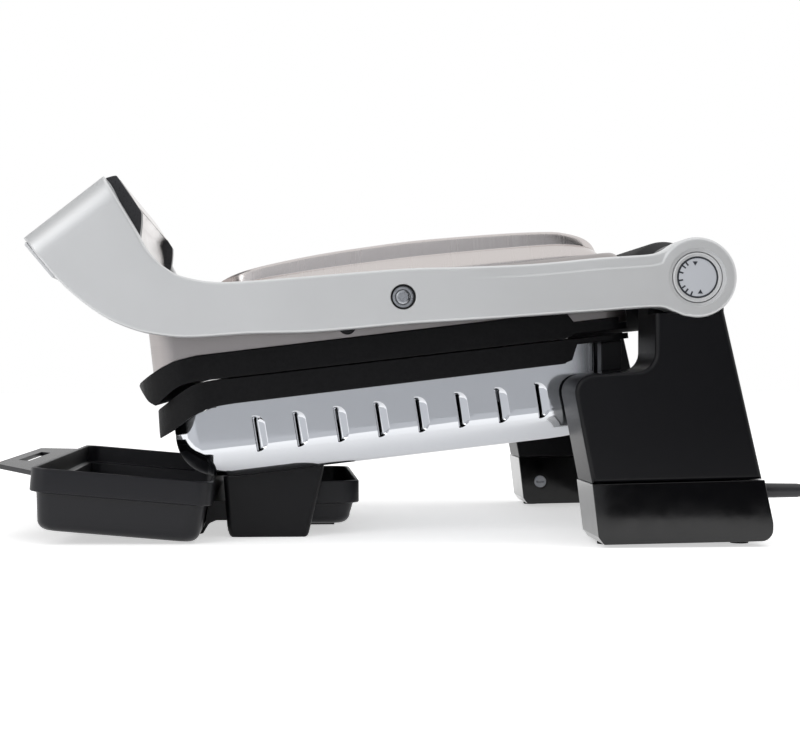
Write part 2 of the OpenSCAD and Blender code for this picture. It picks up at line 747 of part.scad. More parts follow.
// X along the control panel from its front edge, Z out of its face
module on_panel() {
  translate([hinge_x - reach, 0, hinge_z + handle_rise])
    rotate([0, -panel_angle, 0]) children();
}
handle_section = from_handle([
  [0, 0], [40.9, 32.3], [44.5, 27.5], [50, 15], [52.5, 4], [51.5, -8],
  [47, -20], [39, -29], [30.5, -32], [17, -20.3]]);
// Hollow casting that joins the arms, open above for the panel
module handle_shell() {
  color("#c4c5c7") difference() {
    translate([hinge_x, 0, hinge_z]) difference() {
      slab(-handle_y, handle_y) polygon(handle_section);
      slab(-handle_y - 1, handle_y + 1)
        offset(delta = -handle_wall) polygon(handle_section);
    }
    on_panel() translate([panel_margin, -handle_y - 1, -6])
      cube([panel_l - 2 * panel_margin, 2 * handle_y + 2, 8]);
  }
}
// Polished cover on the rear of the handle, where the fingers pull
module handle_back() {
  color("#b7b4b3") translate([hinge_x, 0, hinge_z])
    slab(pad_w - handle_y, handle_y - pad_w) polygon(from_handle([
      [40.9, 32.3], [43.5, 32.5], [49, 24.5], [53.5, 14.5], [56, 4],
      [55, -8], [50.5, -21], [47, -20], [51.5, -8], [52.5, 4], [50, 15],
      [44.5, 27.5]]));
}
// Black grip ends beside the arms
module handle_pads() {
  color("#202022") translate([hinge_x, 0, hinge_z]) pair()
    slab(handle_y - pad_w, handle_y) polygon(from_handle([
      [40.9, 32.3], [36.5, 30], [36, 34.5], [42.6, 36.7], [49, 29], [53.8, 21.8], [57.4, 13],
      [58.6, 2.2], [57.5, -7], [51.5, -22], [47, -20], [51.5, -8], [52.5, 4],
      [50, 15], [44.5, 27.5]]));
}
front_edge = [17, -20.3];
front_out = [front_edge[1], -front_edge[0]] / norm(front_edge);
strip_t = 1;
// Flat strip along the handle's front edge
module handle_trim() {
  color("#8f9194") translate([hinge_x, 0, hinge_z])
    slab(2 - arm_y1, arm_y1 - 2) polygon(from_handle([
      0.06 * front_edge, 0.06 * front_edge + strip_t * front_out,
      0.92 * front_edge + strip_t * front_out, 0.92 * front_edge]));
}
panel_margin = 3;
panel_t = 3;
key_x = panel_l / 2;
key_r = 6;
key_travel = 1;
power_y = -70;
minus_y = 62;
plus_y = 86;
window_y = 38;
window_x = [12, 40];
// Panel that carries the display and keys
module control_fascia() {
  color("#1a1a1d") on_panel() difference() {
    translate([panel_margin, -handle_y + gap, -panel_t])
      cube([panel_l - 2 * panel_margin, 2 * (handle_y - gap), panel_t]);
    translate([window_x[0], -window_y, -1.4])
      cube([window_x[1] - window_x[0], 2 * window_y, 3]);
    for (y = [power_y, minus_y, plus_y]) translate([key_x, y, -panel_t - 1])
      cylinder(r = key_r + 0.25, h = panel_t + 2);
  }
}
module display_window() {
  color("#3b4648") on_panel() translate([window_x[0], -window_y, -1.4])
    cube([window_x[1] - window_x[0], 2 * window_y, 1.4]);
}
module key(y) {
  color("#c9cacc") on_panel() translate([key_x, y, 0]) {
    translate([0, 0, -panel_t - 3]) cylinder(r = key_r, h = panel_t + 3.3);
    translate([0, 0, -panel_t - 3]) cylinder(r = key_r + 1.2, h = 3 - gap);
  }
}
module power_button() key(power_y);
module minus_button() key(minus_y);
module plus_button() key(plus_y);
board_z = -panel_t - 3 - key_travel - 0.6;
// Circuit board hung under the panel
module control_board() {
  color("#2f6b3f") on_panel() {
    translate([8, -100, board_z - 1.6]) cube([34, 210, 1.6]);
    for (x = [11, 39], y = [-92, 102]) translate([x, y, board_z])
      cylinder(r = 2.2, h = -panel_t - board_z);
    for (y = [power_y, minus_y, plus_y]) translate([key_x, y, board_z])
      cylinder(r = 2, h = 0.4);
  }
}

// ---------------------------------------------------------------- upper unit
hood_r = 14;
hood_ease = 5;
release_local = [-181, 20.5];
module hood_plan(d) {
  round_rect([hood_x0 + d, d - hood_y], [hood_x1 - d, hood_y - d],
             max(2, hood_r - d));
}
// Metal-finish housing: side skirt, eased shoulder and opening for the dome
module upper_housing() {
  color("#b9bbbe") difference() {
    union() {
      on_plane() difference() {
        hull() {
          linear_extrude(hood_h - hood_ease) hood_plan(0);
          linear_extrude(hood_h) hood_plan(hood_ease);
        }
        hull() {
          translate([0, 0, -1]) linear_extrude(hood_h - hood_ease) hood_plan(hood_wall);
          linear_extrude(hood_h - hood_wall) hood_plan(hood_ease + 1);
        }
        slab(-half_w, half_w) polygon(concat([[-300, -5], [-300, 7]],
          upper_top(gap), [[0, 6], [0, -5]]));
        linear_extrude(hood_h + 1)
          round_rect([-243, 6 - dome_y], [-43, dome_y - 6], 10);
      }
      at_hinge() pair() bar(9, -pivot_back, pivot_z, hood_y - pivot_in,
                            arm_y0 - 0.4);
    }
    at_hinge() for (s = [-1, 1]) bar(pivot_r + run_gap, -pivot_back, pivot_z,
      min(s * (hood_y - 20), s * arm_y0), max(s * (hood_y - 20), s * arm_y0));
    on_plane() translate([release_local[0], 0, release_local[1]])
      bar(release_r + 0.25, 0, 0, -hood_y - 1, -hood_y + hood_wall + 1);
  }
}
release_r = 4.5;
release_travel = 2;
// Push button that frees the upper plate
module plate_release() {
  color("#1c1c1f") on_plane() translate([release_local[0], 0, release_local[1]]) {
    bar(release_r, 0, 0, -hood_y - 0.6, -hood_y + hood_wall + 2.5);
    bar(release_r + 1.3, 0, 0, -hood_y + hood_wall + gap,
        -hood_y + hood_wall + 2.5);
  }
}
// Solid of the domed cover, shrunk by d
module dome_form(d) {
  k = dome_h / 19;
  intersection() {
    slab(-half_w, half_w) polygon(concat(
      [[-249.5 + d, hood_h]],
      spline([for (p = [[-248.5, 4.5], [-243.2, 8.9], [-226.3, 13.2],
                        [-194, 16.8], [-162.7, 18.6], [-134, 19], [-90, 17.2],
                        [-57, 14.1], [-48, 10.8], [-42, 5.6]])
              [p[0] + (p[0] < -134 ? d : -d), hood_h + k * p[1] - d]], 3),
      [[-37 - d, hood_h]]));
    along(-260, -30) polygon(concat(
      [[d - dome_y, hood_h]],
      arc([d - dome_y + 12, hood_h + k * 19 - 12 - d], 12, 180, 90, 8),
      arc([dome_y - 12 - d, hood_h + k * 19 - 12 - d], 12, 90, 0, 8),
      [[dome_y - d, hood_h]]));
    linear_extrude(hood_h + 40)
      round_rect([-250 + d, d - dome_y], [-36 - d, dome_y - d], 22);
  }
}
module lid_cover() {
  color("#c8c5c2") on_plane() difference() {
    dome_form(0);
    translate([0, 0, -0.01]) dome_form(sheet);
  }
}

// ---------------------------------------------------------------- trays
// Solid of a tray's form: a tapered tub under an upright rim band, with
// its rear edge at X = 0 and its floor at Z = 0, shrunk by d
module tub(l, w, h, d) {
  r = 6;
  band_z = h - rim_h + d;
  hull() {
    for (x = [-rim_step - draft - r, rim_step + draft + r - l],
         s = [-1, 1])
      translate([x, s * (w / 2 - rim_step - draft - r), r])
        sphere(r = r - d, $fn = 24);
    translate([0, 0, band_z - 0.1]) linear_extrude(d > 0 ? 0.6 : 0.1)
      round_rect([rim_step + d - l, rim_step + d - w / 2],
                 [-rim_step - d, w / 2 - rim_step - d], 8 - d);
  }
  translate([0, 0, band_z]) linear_extrude(rim_h)
    round_rect([d - l, d - w / 2], [-d, w / 2 - d], 10 - d);
}
module tray(l, w, h) {
  difference() {
    tub(l, w, h, 0);
    tub(l, w, h, tray_wall);
  }
}
slot_y = 52;
// Front tray, hung by its rear rim on the stand's beam, with a pull flange
module drip_tray() {
  color("#2b2b30") at_hinge() translate([tray_back_x, 0, 0])
    rotate([0, tray_tilt, 0]) {
      tray(tray_l, tray_w, tray_h);
      translate([0, 0, tray_h - pull_drop - pull_t]) linear_extrude(pull_t)
        difference() {
          polygon([
            [-tray_l - pull_l, pull_in - tray_w / 2],
            [-tray_l - pull_l, tray_w / 2 - pull_in],
            [-tray_l - pull_l + 2, tray_w / 2 - pull_in + 4],
            [-tray_l + 1, tray_w / 2 - 9], [-tray_l + 1, 9 - tray_w / 2],
            [-tray_l - pull_l + 2, pull_in - 4 - tray_w / 2]]);
          translate([-tray_l - pull_l + 6, -slot_y]) square([6, 2 * slot_y]);
        }
    }
}
spare_x = -172.8;
module spare_tray() {
  color("#2b2b30") at_hinge() translate([spare_x, 0, 5.3])
    tray(spare_l, spare_w, spare_h);
}

// ---------------------------------------------------------------- cord
cord_r = cord_d / 2;
// Hand-set route [x from the hinge, z] of the cord's free stretch, at y = -cord_y
route = [for (p = [[60.4, 28], [69.4, 28], [78.4, 28], [88.4, 26.5], [97.4, 22],
                   [104.4, 16], [111.4, 9.5], [120.4, 5], [130.4, 3.8],
                   [137.4, 3.8]]) p + [hinge_x, 0]];
coil_at = [hinge_x + 161.4, coil_d / 2 - cord_y];
sides = 10;
// Soft sleeve where the cord leaves the right leg's base
module strain_relief() {
  x0 = hinge_x + 31;
  l = route[0][0] - x0;
  color("#1a1a1c") translate([x0, -cord_y, cord_exit_z]) rotate([0, 90, 0])
    rotate_extrude() polygon(concat(
      [[0, 0], [relief_r, 0], [relief_r, 7]],
      [for (i = [0 : 4]) for (e = [[0, 0], [0.45, 0.3], [0.45, 0.7], [0, 1]])
        let (z = 9 + (i + e[1] * 0.6) * (l - 12) / 5)
        [relief_r - 0.3 - (relief_r - cord_r - 0.9) * z / l - e[0], z]],
      [[cord_r + 0.5, l], [0, l]]));
}
function ring_at(i) =
  let (a = route[max(0, i - 1)], b = route[min(len(route) - 1, i + 1)],
       t = (b - a) / norm(b - a))
  [for (k = [0 : sides - 1]) let (u = 360 * k / sides)
    [route[i][0] - cord_r * cos(u) * t[1], -cord_y + cord_r * sin(u),
     route[i][1] + cord_r * cos(u) * t[0]]];
// Free stretch of the mains cord, from the sleeve down to the coil
module power_cord() {
  n = len(route);
  color("#1a1a1c") polyhedron(
    points = [for (i = [0 : n - 1]) each ring_at(i)],
    faces = concat(
      [[for (k = [0 : sides - 1]) k]],
      [for (i = [0 : n - 2], k = [0 : sides - 1])
        let (a = i * sides, j = (k + 1) % sides)
        [a + k, a + sides + k, a + sides + j, a + j]],
      [[for (k = [sides - 1 : -1 : 0]) (n - 1) * sides + k]]));
}
// Outer form of the wound cord: two turns wide and two high
module cord_coil() {
  color("#1a1a1c") translate([coil_at[0], coil_at[1], 0.3]) rotate_extrude()
    translate([coil_d / 2 - cord_d, 0]) round_rect([0, 0],
      [2 * cord_d, 2 * cord_d], cord_r);
}
// Moulded three-pin plug lying beside the coil
module mains_plug() {
  plug_z = 0.3 + 1.5 * cord_d;
  color("#1a1a1c") translate([coil_at[0] + coil_d / 2, coil_at[1] + 24, plug_z])
    rotate([-90, 0, 0]) {
      cylinder(r1 = cord_r + 0.4, r2 = 5.2, h = 14);
      hull() {
        translate([0, 0, 13]) cylinder(r = 7, h = 2, $fn = 32);
        for (x = [-8.5, 8.5], y = [-6, 6]) translate([x, y, 22])
          cylinder(r = 4, h = 20, $fn = 32);
      }
      for (x = [-6.35, 6.35]) translate([x - 0.75, -7.6, 41]) cube([1.5, 6.3, 16]);
      translate([0, 5.5, 41]) cylinder(r = 2.4, h = 19);
    }
}

right_leg();
left_leg();
right_leg_base();
left_leg_base();
rear_bridge();
hinge_barrel();
hinge_pins();
lower_pan();
lower_grill_plate();
lower_element();
lower_reflector();
lower_plate_clips();
thermostat();
thermal_fuse();
terminal_block();
front_stand();
rubber_feet();
rear_supports();
pan_spacers();
base_screws();
strain_relief();
power_cord();
cord_coil();
mains_plug();
right_arm();
left_arm();
hinge_bushes();
dial_ring();
hinge_cap();
pivot_screws();
pivot_washers();
handle_shell();
handle_back();
handle_pads();
handle_trim();
control_fascia();
display_window();
control_board();
power_button();
minus_button();
plus_button();
release_button();
upper_housing();
lid_cover();
upper_grill_plate();
upper_element();
upper_reflector();
upper_thermostat();
upper_plate_clips();
plate_release();
drip_tray();
spare_tray();
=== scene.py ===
"""Electric contact grill with a floating upper plate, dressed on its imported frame."""

import math

import bmesh
import bpy
from mathutils import Matrix, Vector


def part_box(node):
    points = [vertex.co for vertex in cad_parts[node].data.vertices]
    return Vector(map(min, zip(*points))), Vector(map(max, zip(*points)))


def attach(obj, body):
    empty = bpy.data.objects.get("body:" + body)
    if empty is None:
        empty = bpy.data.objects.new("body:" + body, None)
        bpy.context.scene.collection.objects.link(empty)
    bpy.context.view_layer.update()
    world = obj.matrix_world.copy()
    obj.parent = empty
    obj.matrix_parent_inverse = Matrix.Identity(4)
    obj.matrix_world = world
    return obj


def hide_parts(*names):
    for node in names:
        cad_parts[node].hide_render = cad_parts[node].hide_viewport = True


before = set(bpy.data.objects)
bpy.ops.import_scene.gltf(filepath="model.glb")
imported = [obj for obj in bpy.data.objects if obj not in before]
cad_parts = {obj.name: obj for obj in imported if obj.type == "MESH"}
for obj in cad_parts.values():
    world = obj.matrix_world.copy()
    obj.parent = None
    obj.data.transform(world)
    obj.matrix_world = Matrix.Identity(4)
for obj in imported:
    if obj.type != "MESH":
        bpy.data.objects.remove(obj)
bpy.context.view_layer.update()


# --- Camera ---
# A long lens, level with the cooking plates and turned a little to the grill's rear,
# so that the near arm hides most of the far one.
def shown(name, data):
    """A new object of some data, linked into the scene."""
    made = bpy.data.objects.new(name, data)
    bpy.context.collection.objects.link(made)
    return made


bpy.context.scene.view_settings.view_transform = "Standard"
lens = bpy.data.cameras.new("camera")
lens.sensor_width = 36
lens.lens = 83.05
camera = shown("camera", lens)
camera.location = (-0.0515, -1.1238, 0.093)
camera.rotation_euler = (math.radians(90), 0, math.radians(-3.8))
bpy.context.scene.camera = camera


# --- Mains cord ---
# A round three-core PVC lead. It leaves the right leg's base through the strain relief,
# bends down to the table, and the rest is wound two turns wide and two high.
def linear(code):
    """An sRGB hex colour as linear RGBA."""
    channels = [int(code[i:i + 2], 16) / 255 for i in (1, 3, 5)]
    return [c / 12.92 if c < 0.0405 else ((c + 0.055) / 1.055) ** 2.4
            for c in channels] + [1]


def node(tree, kind, links=(), **settings):
    """Adds a node: settings are its properties, links its inputs' values or sources."""
    made = tree.nodes.new(kind)
    for name, value in settings.items():
        setattr(made, name, value)
    for name, value in dict(links).items():
        if isinstance(value, bpy.types.NodeSocket):
            tree.links.new(value, made.inputs[name])
        else:
            made.inputs[name].default_value = value
    return made


def surface(name, code, **uniform):
    """A Principled material with its uniform values set on the shader's sockets."""
    made = bpy.data.materials.new(name)
    made.use_nodes = True
    shader = made.node_tree.nodes["Principled BSDF"]
    shader.inputs["Base Color"].default_value = linear(code)
    for socket, value in uniform.items():
        shader.inputs[socket.replace("_", " ").title().replace("Ior", "IOR")
                      ].default_value = value
    return made


def pattern(made, size, height=0, tints=None, gloss=None, along=(1, 1, 1)):
    """Noise of a size in mm on a material: height in mm, two tints, two roughnesses."""
    tree = made.node_tree
    shader = tree.nodes["Principled BSDF"]
    place = node(tree, "ShaderNodeTexCoord").outputs["Object"]
    placed = node(tree, "ShaderNodeMapping", {
        "Vector": place, "Scale": [1000 / (size * a) for a in along]})
    noise = node(tree, "ShaderNodeTexNoise", {
        "Vector": placed.outputs[0], "Scale": 1, "Detail": 3}).outputs["Fac"]
    if tints:
        ramp = node(tree, "ShaderNodeValToRGB", {"Fac": noise})
        for stop, at, code in zip(ramp.color_ramp.elements, (0.3, 0.7), tints):
            stop.position, stop.color = at, linear(code)
        tree.links.new(ramp.outputs[0], shader.inputs["Base Color"])
    if gloss:
        ranged = node(tree, "ShaderNodeMapRange", {
            "Value": noise, "From Min": 0.3, "From Max": 0.7,
            "To Min": gloss[0], "To Max": gloss[1]})
        tree.links.new(ranged.outputs[0], shader.inputs["Roughness"])
    if height:
        bump = node(tree, "ShaderNodeBump", {
            "Height": noise, "Strength": 1.0, "Distance": height / 1000})
        if shader.inputs["Normal"].is_linked:
            tree.links.new(shader.inputs["Normal"].links[0].from_socket,
                           bump.inputs["Normal"])
        tree.links.new(bump.outputs[0], shader.inputs["Normal"])
    return made


def metal(name, code, size, **look):
    """A bare metal with a pattern's look."""
    return pattern(surface(name, code, metallic=1.0), size, **look)


def moulded(name, code, sheen, size, **look):
    """A plastic, rubber or coat of some specular level, with a pattern's look."""
    return pattern(surface(name, code, specular_ior_level=sheen), size, **look)


def flowing(points, steps):
    """A Catmull-Rom curve through points, steps to each stretch."""
    p = [Vector(q) for q in points]
    made = []
    for i in range(len(p) - 1):
        a, b, c, d = p[max(i - 1, 0)], p[i], p[i + 1], p[min(i + 2, len(p) - 1)]
        for k in range(steps):
            t = k / steps
            made.append(0.5 * (2 * b + t * (c - a) + t * t * (2 * a - 5 * b + 4 * c - d)
                               + t ** 3 * (3 * b - a - 3 * c + d)))
    return made + [p[-1]]


hinge_x = sum(corner.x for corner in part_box("hinge_pins")) / 2
hinge_mm = hinge_x * 1000
cord_mm = 7
cord_y, cord_z = -147, 28
exit_x = hinge_mm + 31
outer, middle, inner = 43.5, 40, 36.5
low, high = 3.8, 3.8 + cord_mm
# The way from the exit to the table, from the hinge axis backwards
leaving = [(31, cord_z), (45.4, cord_z), (60.4, cord_z), (69.4, cord_z), (78.4, cord_z),
           (88.4, 26.5), (97.4, 22), (104.4, 16), (111.4, 9.5), (120.4, 5),
           (130.4, low), (137.4, low)]
coil_x, coil_y = hinge_mm + 161.4, -107
# Angle, radius and height where each stretch of the winding starts or ends
winding = [(-118, outer, low), (170, outer, low), (235, inner, low), (440, inner, low),
           (500, inner, high), (735, inner, high), (795, outer, high),
           (1030, outer, high), (1080, middle, high)]


def wound(angle):
    """A point of the coil's centreline, in mm."""
    for (a, r0, z0), (b, r1, z1) in zip(winding, winding[1:]):
        if angle <= b:
            t = (angle - a) / (b - a)
            t = t * t * (3 - 2 * t)
            radius, z = r0 + (r1 - r0) * t, z0 + (z1 - z0) * t
            turn = math.radians(angle)
            return Vector((coil_x + radius * math.cos(turn),
                           coil_y + radius * math.sin(turn), z))


centreline = flowing([(x + hinge_mm, cord_y, z) for x, z in leaving], 3)
centreline += [wound(a) for a in range(-112, 1081, 8)]
plug_x = coil_x + middle
centreline += [Vector((plug_x, y, high)) for y in (-103, -95, -89, -83)]
line = bpy.data.curves.new("mains_cord", "CURVE")
line.dimensions = "3D"
line.bevel_depth = cord_mm / 2000
line.bevel_resolution = 5
line.use_fill_caps = True
spline = line.splines.new("POLY")
spline.points.add(len(centreline) - 1)
for point, at in zip(spline.points, centreline):
    point.co = (*(at / 1000), 1)
spline.use_smooth = True
# Plasticised PVC sheath: extruded, so satin with a faint drag along its length
cord_pvc = moulded("cord_pvc", "#2B2B2E", 0.5, 2, height=0.03, gloss=(0.36, 0.5))
line.materials.append(cord_pvc)
mains_cord = shown("mains_cord", line)
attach(mains_cord, "base")
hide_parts("power_cord", "cord_coil")


# --- Strain relief ---
# A soft, slightly tapered PVC sleeve moulded round the cord, with a collar that snaps
# into the leg base's rear wall.
def turned(profile, centre, steps=48, axis=(0, 1, 0)):
    """A mesh spun from [along, radius] points round an axis through centre, in mm."""
    bm = bmesh.new()
    axis = Vector(axis)
    side = axis.orthogonal().normalized()
    verts = [bm.verts.new(Vector(centre) + axis * s + side * r) for s, r in profile]
    edges = [bm.edges.new(pair) for pair in zip(verts, verts[1:])]
    bmesh.ops.spin(bm, geom=verts + edges, cent=centre, axis=axis, angle=2 * math.pi,
                   steps=steps, use_merge=True)
    bmesh.ops.remove_doubles(bm, verts=bm.verts, dist=1e-5)
    bmesh.ops.recalc_face_normals(bm, faces=bm.faces)
    return bm


MM = Matrix.Scale(0.001, 4)
BY_HINGE = Matrix.Translation((hinge_x, 0, 0)) @ MM


def meshed(name, bm):
    """A mesh of a bmesh, which is freed."""
    mesh = bpy.data.meshes.new(name)
    bm.to_mesh(mesh)
    bm.free()
    return mesh


def modified(made, kind, **settings):
    """Adds a modifier of some kind to an object."""
    modifier = made.modifiers.new(kind.lower(), kind)
    for name, value in settings.items():
        setattr(modifier, name, value)


def piece(name, bm, finish, body, slot, *stands_for, place=BY_HINGE, sharp=35):
    """Places a bmesh made in mm as a finished piece that rides on a body."""
    bmesh.ops.transform(bm, matrix=place, verts=bm.verts)
    bmesh.ops.remove_doubles(bm, verts=bm.verts, dist=1e-6)
    bmesh.ops.recalc_face_normals(bm, faces=bm.faces)
    mesh = meshed(name, bm)
    mesh.shade_smooth()
    mesh.set_sharp_from_angle(angle=math.radians(sharp))
    mesh.materials.append(finish)
    made = shown(name, mesh)
    modified(made, "WEIGHTED_NORMAL", keep_sharp=True, weight=90)
    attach(made, body)
    if stands_for:
        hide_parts(*stands_for)
    return made


relief_end = 29.4
sleeve = turned([(0, 3.4), (0, 5.2), (5.6, 5.2), (6.2, 4.9), (6.4, 4.1), (12, 3.95),
                 (relief_end - 0.6, 3.7), (relief_end, 3.55), (relief_end, 3.4)],
                (exit_x, cord_y, cord_z), axis=(1, 0, 0))
relief = piece("strain_sleeve", sleeve, cord_pvc, "base", "cord_rubber",
               "strain_relief", place=MM)


# --- Mains plug ---
# A moulded three-pin plug: a rounded ABS body with finger grips, brass blades with
# insulated roots, and a short boot over the cord.
def eased(bm, edges, radius, steps):
    """Rounds chosen edges of a bmesh."""
    bmesh.ops.bevel(bm, geom=edges, offset=radius, affect="EDGES", segments=steps,
                    profile=0.5, material=-1, clamp_overlap=True)


def upright(edge):
    """Whether an edge's ends differ in height."""
    return abs(edge.verts[0].co.z - edge.verts[1].co.z) > 0.5


def box(low_corner, high_corner, radius=0, steps=4, edges=None):
    """A block between two corners in mm, its chosen edges rounded."""
    bm = bmesh.new()
    a, b = Vector(low_corner), Vector(high_corner)
    bmesh.ops.create_cube(bm, size=1)
    bmesh.ops.scale(bm, vec=b - a, verts=bm.verts)
    bmesh.ops.translate(bm, vec=(a + b) / 2, verts=bm.verts)
    if radius:
        eased(bm, [e for e in bm.edges if edges is None or edges(e)], radius, steps)
    return bm


def merged(*parts):
    """Several bmeshes as one."""
    whole = bmesh.new()
    for part in parts:
        loose = meshed("part", part)
        whole.from_mesh(loose)
        bpy.data.meshes.remove(loose)
    return whole


plug_z = high
plug_body = box((plug_x - 12.4, -62, plug_z - 10), (plug_x + 12.4, -42.2, plug_z + 10),
                4, 6)
for v in plug_body.verts:
    if v.co.y < -54:
        v.co.x = plug_x + (v.co.x - plug_x) * 0.8
        v.co.z = plug_z + (v.co.z - plug_z) * 0.82
boot = turned([(0, 3.5), (0, 3.9), (4, 4.1), (5, 3.9), (6, 4.4), (8, 4.5), (9, 4.3),
               (10, 4.9), (14, 5.2), (16, 6.6), (22, 7.4)], (plug_x, -83, plug_z))
plug = piece("plug_body", merged(plug_body, boot), cord_pvc, "base", "cord_rubber",
             "mains_plug", place=MM)
blades = merged(*[box((plug_x + x - 0.75, -42.4, plug_z + 1.4),
                      (plug_x + x + 0.75, -26.2, plug_z + 7.5), 0.3, 2)
                  for x in (-6.35, 6.35)],
                turned([(0, 0), (0, 2.3), (15.4, 2.3), (16.4, 1.4), (16.6, 0)],
                       (plug_x, -42.3, plug_z - 5.5), 24))
# Drawn brass: bright, with fine marks along the blades
brass = metal("brass", "#C9A95A", 0.6, height=0.004, gloss=(0.2, 0.34),
              along=(1, 12, 1))
pins = piece("plug_blades", blades, brass, "base", "cord_rubber", place=MM)


# --- Leg casings ---
# Injection-moulded ABS casings, mirror images. Each stands on its base and ends above
# in the round hinge ear; the outer wall is cut away round the arm's boss.
hinge_z = 141.2
half_w = 172.5
leg_y0, leg_y1, ear_y1 = 122.5, 170.5, 149.5
seam_z = 33.5
boss_r = 21.1


def by_axis(points):
    """Points from the hinge axis, at their height above the table."""
    return [(x, z + hinge_z) for x, z in points]


def rounded(corners, steps=6):
    """A closed outline of corners [x, z, radius], each turned by its radius."""
    made = []
    for i, (x, z, radius) in enumerate(corners):
        here = Vector((x, z))
        back = (Vector(corners[i - 1][:2]) - here).normalized()
        on = (Vector(corners[(i + 1) % len(corners)][:2]) - here).normalized()
        if not radius:
            made.append(here)
            continue
        half = back.angle(on) / 2
        centre = here + (back + on).normalized() * radius / math.sin(half)
        start = here + back * radius / math.tan(half) - centre
        end = here + on * radius / math.tan(half) - centre
        made += [centre + start.normalized().slerp(end.normalized(), k / steps) * radius
                 for k in range(steps + 1)]
    return made


def thickened(bm, offset):
    """Carries all faces of a bmesh along an offset, as a closed solid."""
    made = bmesh.ops.extrude_face_region(bm, geom=bm.faces[:])["geom"]
    bmesh.ops.translate(bm, vec=offset,
                        verts=[v for v in made if isinstance(v, bmesh.types.BMVert)])
    bmesh.ops.recalc_face_normals(bm, faces=bm.faces)


def profile(outline, y0, y1, rims=(0, 0), steps=4):
    """A side outline [x, z] carried from y0 to y1, each rim rounded by its radius."""
    bm = bmesh.new()
    bm.faces.new([bm.verts.new((p[0], y0, p[1])) for p in outline])
    thickened(bm, (0, y1 - y0, 0))
    for y, rim in zip((y0, y1), rims):
        if rim:
            eased(bm, [e for e in bm.edges
                       if all(abs(v.co.y - y) < 1e-4 for v in e.verts)], rim, steps)
    return bm


def carved(bm, *tools, operation="DIFFERENCE"):
    """bm with each tool's form cut away from it, or joined to it."""
    forms = [shown("form", meshed("form", form)) for form in (bm, *tools)]
    for tool in forms[1:]:
        modified(forms[0], "BOOLEAN", object=tool, operation=operation, solver="EXACT")
    shaped = forms[0].evaluated_get(bpy.context.evaluated_depsgraph_get())
    made = bmesh.new()
    made.from_mesh(shaped.to_mesh())
    for form in forms:
        mesh = form.data
        bpy.data.objects.remove(form)
        bpy.data.meshes.remove(mesh)
    return made


def mirrored(bm):
    """A copy of bm on the machine's other side."""
    other = bm.copy()
    bmesh.ops.scale(other, vec=(1, -1, 1), verts=other.verts)
    bmesh.ops.reverse_faces(other, faces=other.faces)
    return other


def twinned(bm):
    """bm and its copy on the machine's other side, as one."""
    return merged(mirrored(bm), bm)


def sided(name, bm, finish, body, slot, stands_for, sharp=35):
    """A right and a left piece of one form, each standing for its side's node."""
    for side, form in (("right_", mirrored(bm)), ("left_", bm)):
        piece(side + name, form, finish, body, slot, side + stands_for, sharp=sharp)


def rod(radius, start, end, centre, steps=48):
    """A plain cylinder along Y, from start to end past its centre."""
    return turned([(start, 0), (start, radius), (end, radius), (end, 0)], centre, steps)


seam_rise = 2
leg_outline = rounded([(-55.2, seam_z, 0), (-66.2, 89.6, 9.5), (-22, 92.6, 10),
                       (-22, hinge_z, 0), (14.6, hinge_z, 0), (14.6, 123.2, 0),
                       (34.8, seam_z + seam_rise, 0)])
arm_room = profile(by_axis([(-60, -18.9), (-10, -18.9), (0, 0), (16, -12), (60, -8),
                            (60, 40), (-60, 40)]), ear_y1, half_w + 5)
boss_room = rod(boss_r + 0.3, 0, 30, (0, ear_y1, hinge_z), 96)
ear = turned([(0, 0), (0, 19.5), (0.3, 20.2), (1, 20.5), (26.4, 20.5), (27, 19.9),
              (27, 0)], (0, leg_y0, hinge_z), 96)
leg = merged(carved(profile(leg_outline, leg_y0, leg_y1, (0.8, 2.4), 5),
                    arm_room, boss_room), ear)
# Satin ABS: spark-eroded tool texture of about 0.3 mm, drawn at 0.5 mm to show
satin_abs = moulded("satin_abs", "#0E0E11", 0.22, 0.5, height=0.006, gloss=(0.33, 0.43))
sided("leg_casing", leg, satin_abs, "base", "black_plastic", "leg")

# --- Leg bases ---
# High-gloss ABS cups that close the casings underneath, each held by a screw in a
# recess of its inner wall. The cord's sleeve passes through the right one's rear wall.
base_outline = rounded([(-55.7, seam_z - 0.35, 0.5), (-52.4, 5.6, 1.5),
                        (-49.4, 1.6, 1.2), (40, 3.1, 6.2), (40.1, 12.5, 10),
                        (35.4, seam_z + seam_rise - 0.35, 0.5)])
screw_x, screw_z = -41, 17
leg_base = carved(profile(base_outline, leg_y0 - 0.8, half_w, (1.2, 2.6), 5),
                  rod(5.2, -2, 1.4, (screw_x, leg_y0 - 0.8, screw_z)))
# Polished-tool ABS: black and mirror-like, with a slight orange peel
gloss_abs = moulded("gloss_abs", "#060608", 0.5, 9, height=0.02, gloss=(0.07, 0.13))
sided("base_cup", leg_base, gloss_abs, "base", "gloss_black", "leg_base")


# --- Rear bridge, feet, supports and fixings ---
# Parts that come straight from the frame: a moulded cross-member with cooling slots,
# rubber feet, support blocks, and plated screws and sleeves.
def dressed(name, finish, edge=0.4):
    """A part of the frame with its finish, its sharp edges eased by edge mm."""
    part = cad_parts[name]
    part.data.materials.clear()
    part.data.materials.append(finish)
    if edge:
        modified(part, "WELD", merge_threshold=1e-5)
        modified(part, "DECIMATE", decimate_type="DISSOLVE",
                 angle_limit=math.radians(0.6))
        modified(part, "BEVEL", width=edge / 1000, segments=3, limit_method="ANGLE",
                 angle_limit=math.radians(40), harden_normals=True)


# Nitrile rubber: dull, slightly mottled
foot_rubber = moulded("foot_rubber", "#19191B", 0.35, 1.2, height=0.01,
                      gloss=(0.6, 0.75))
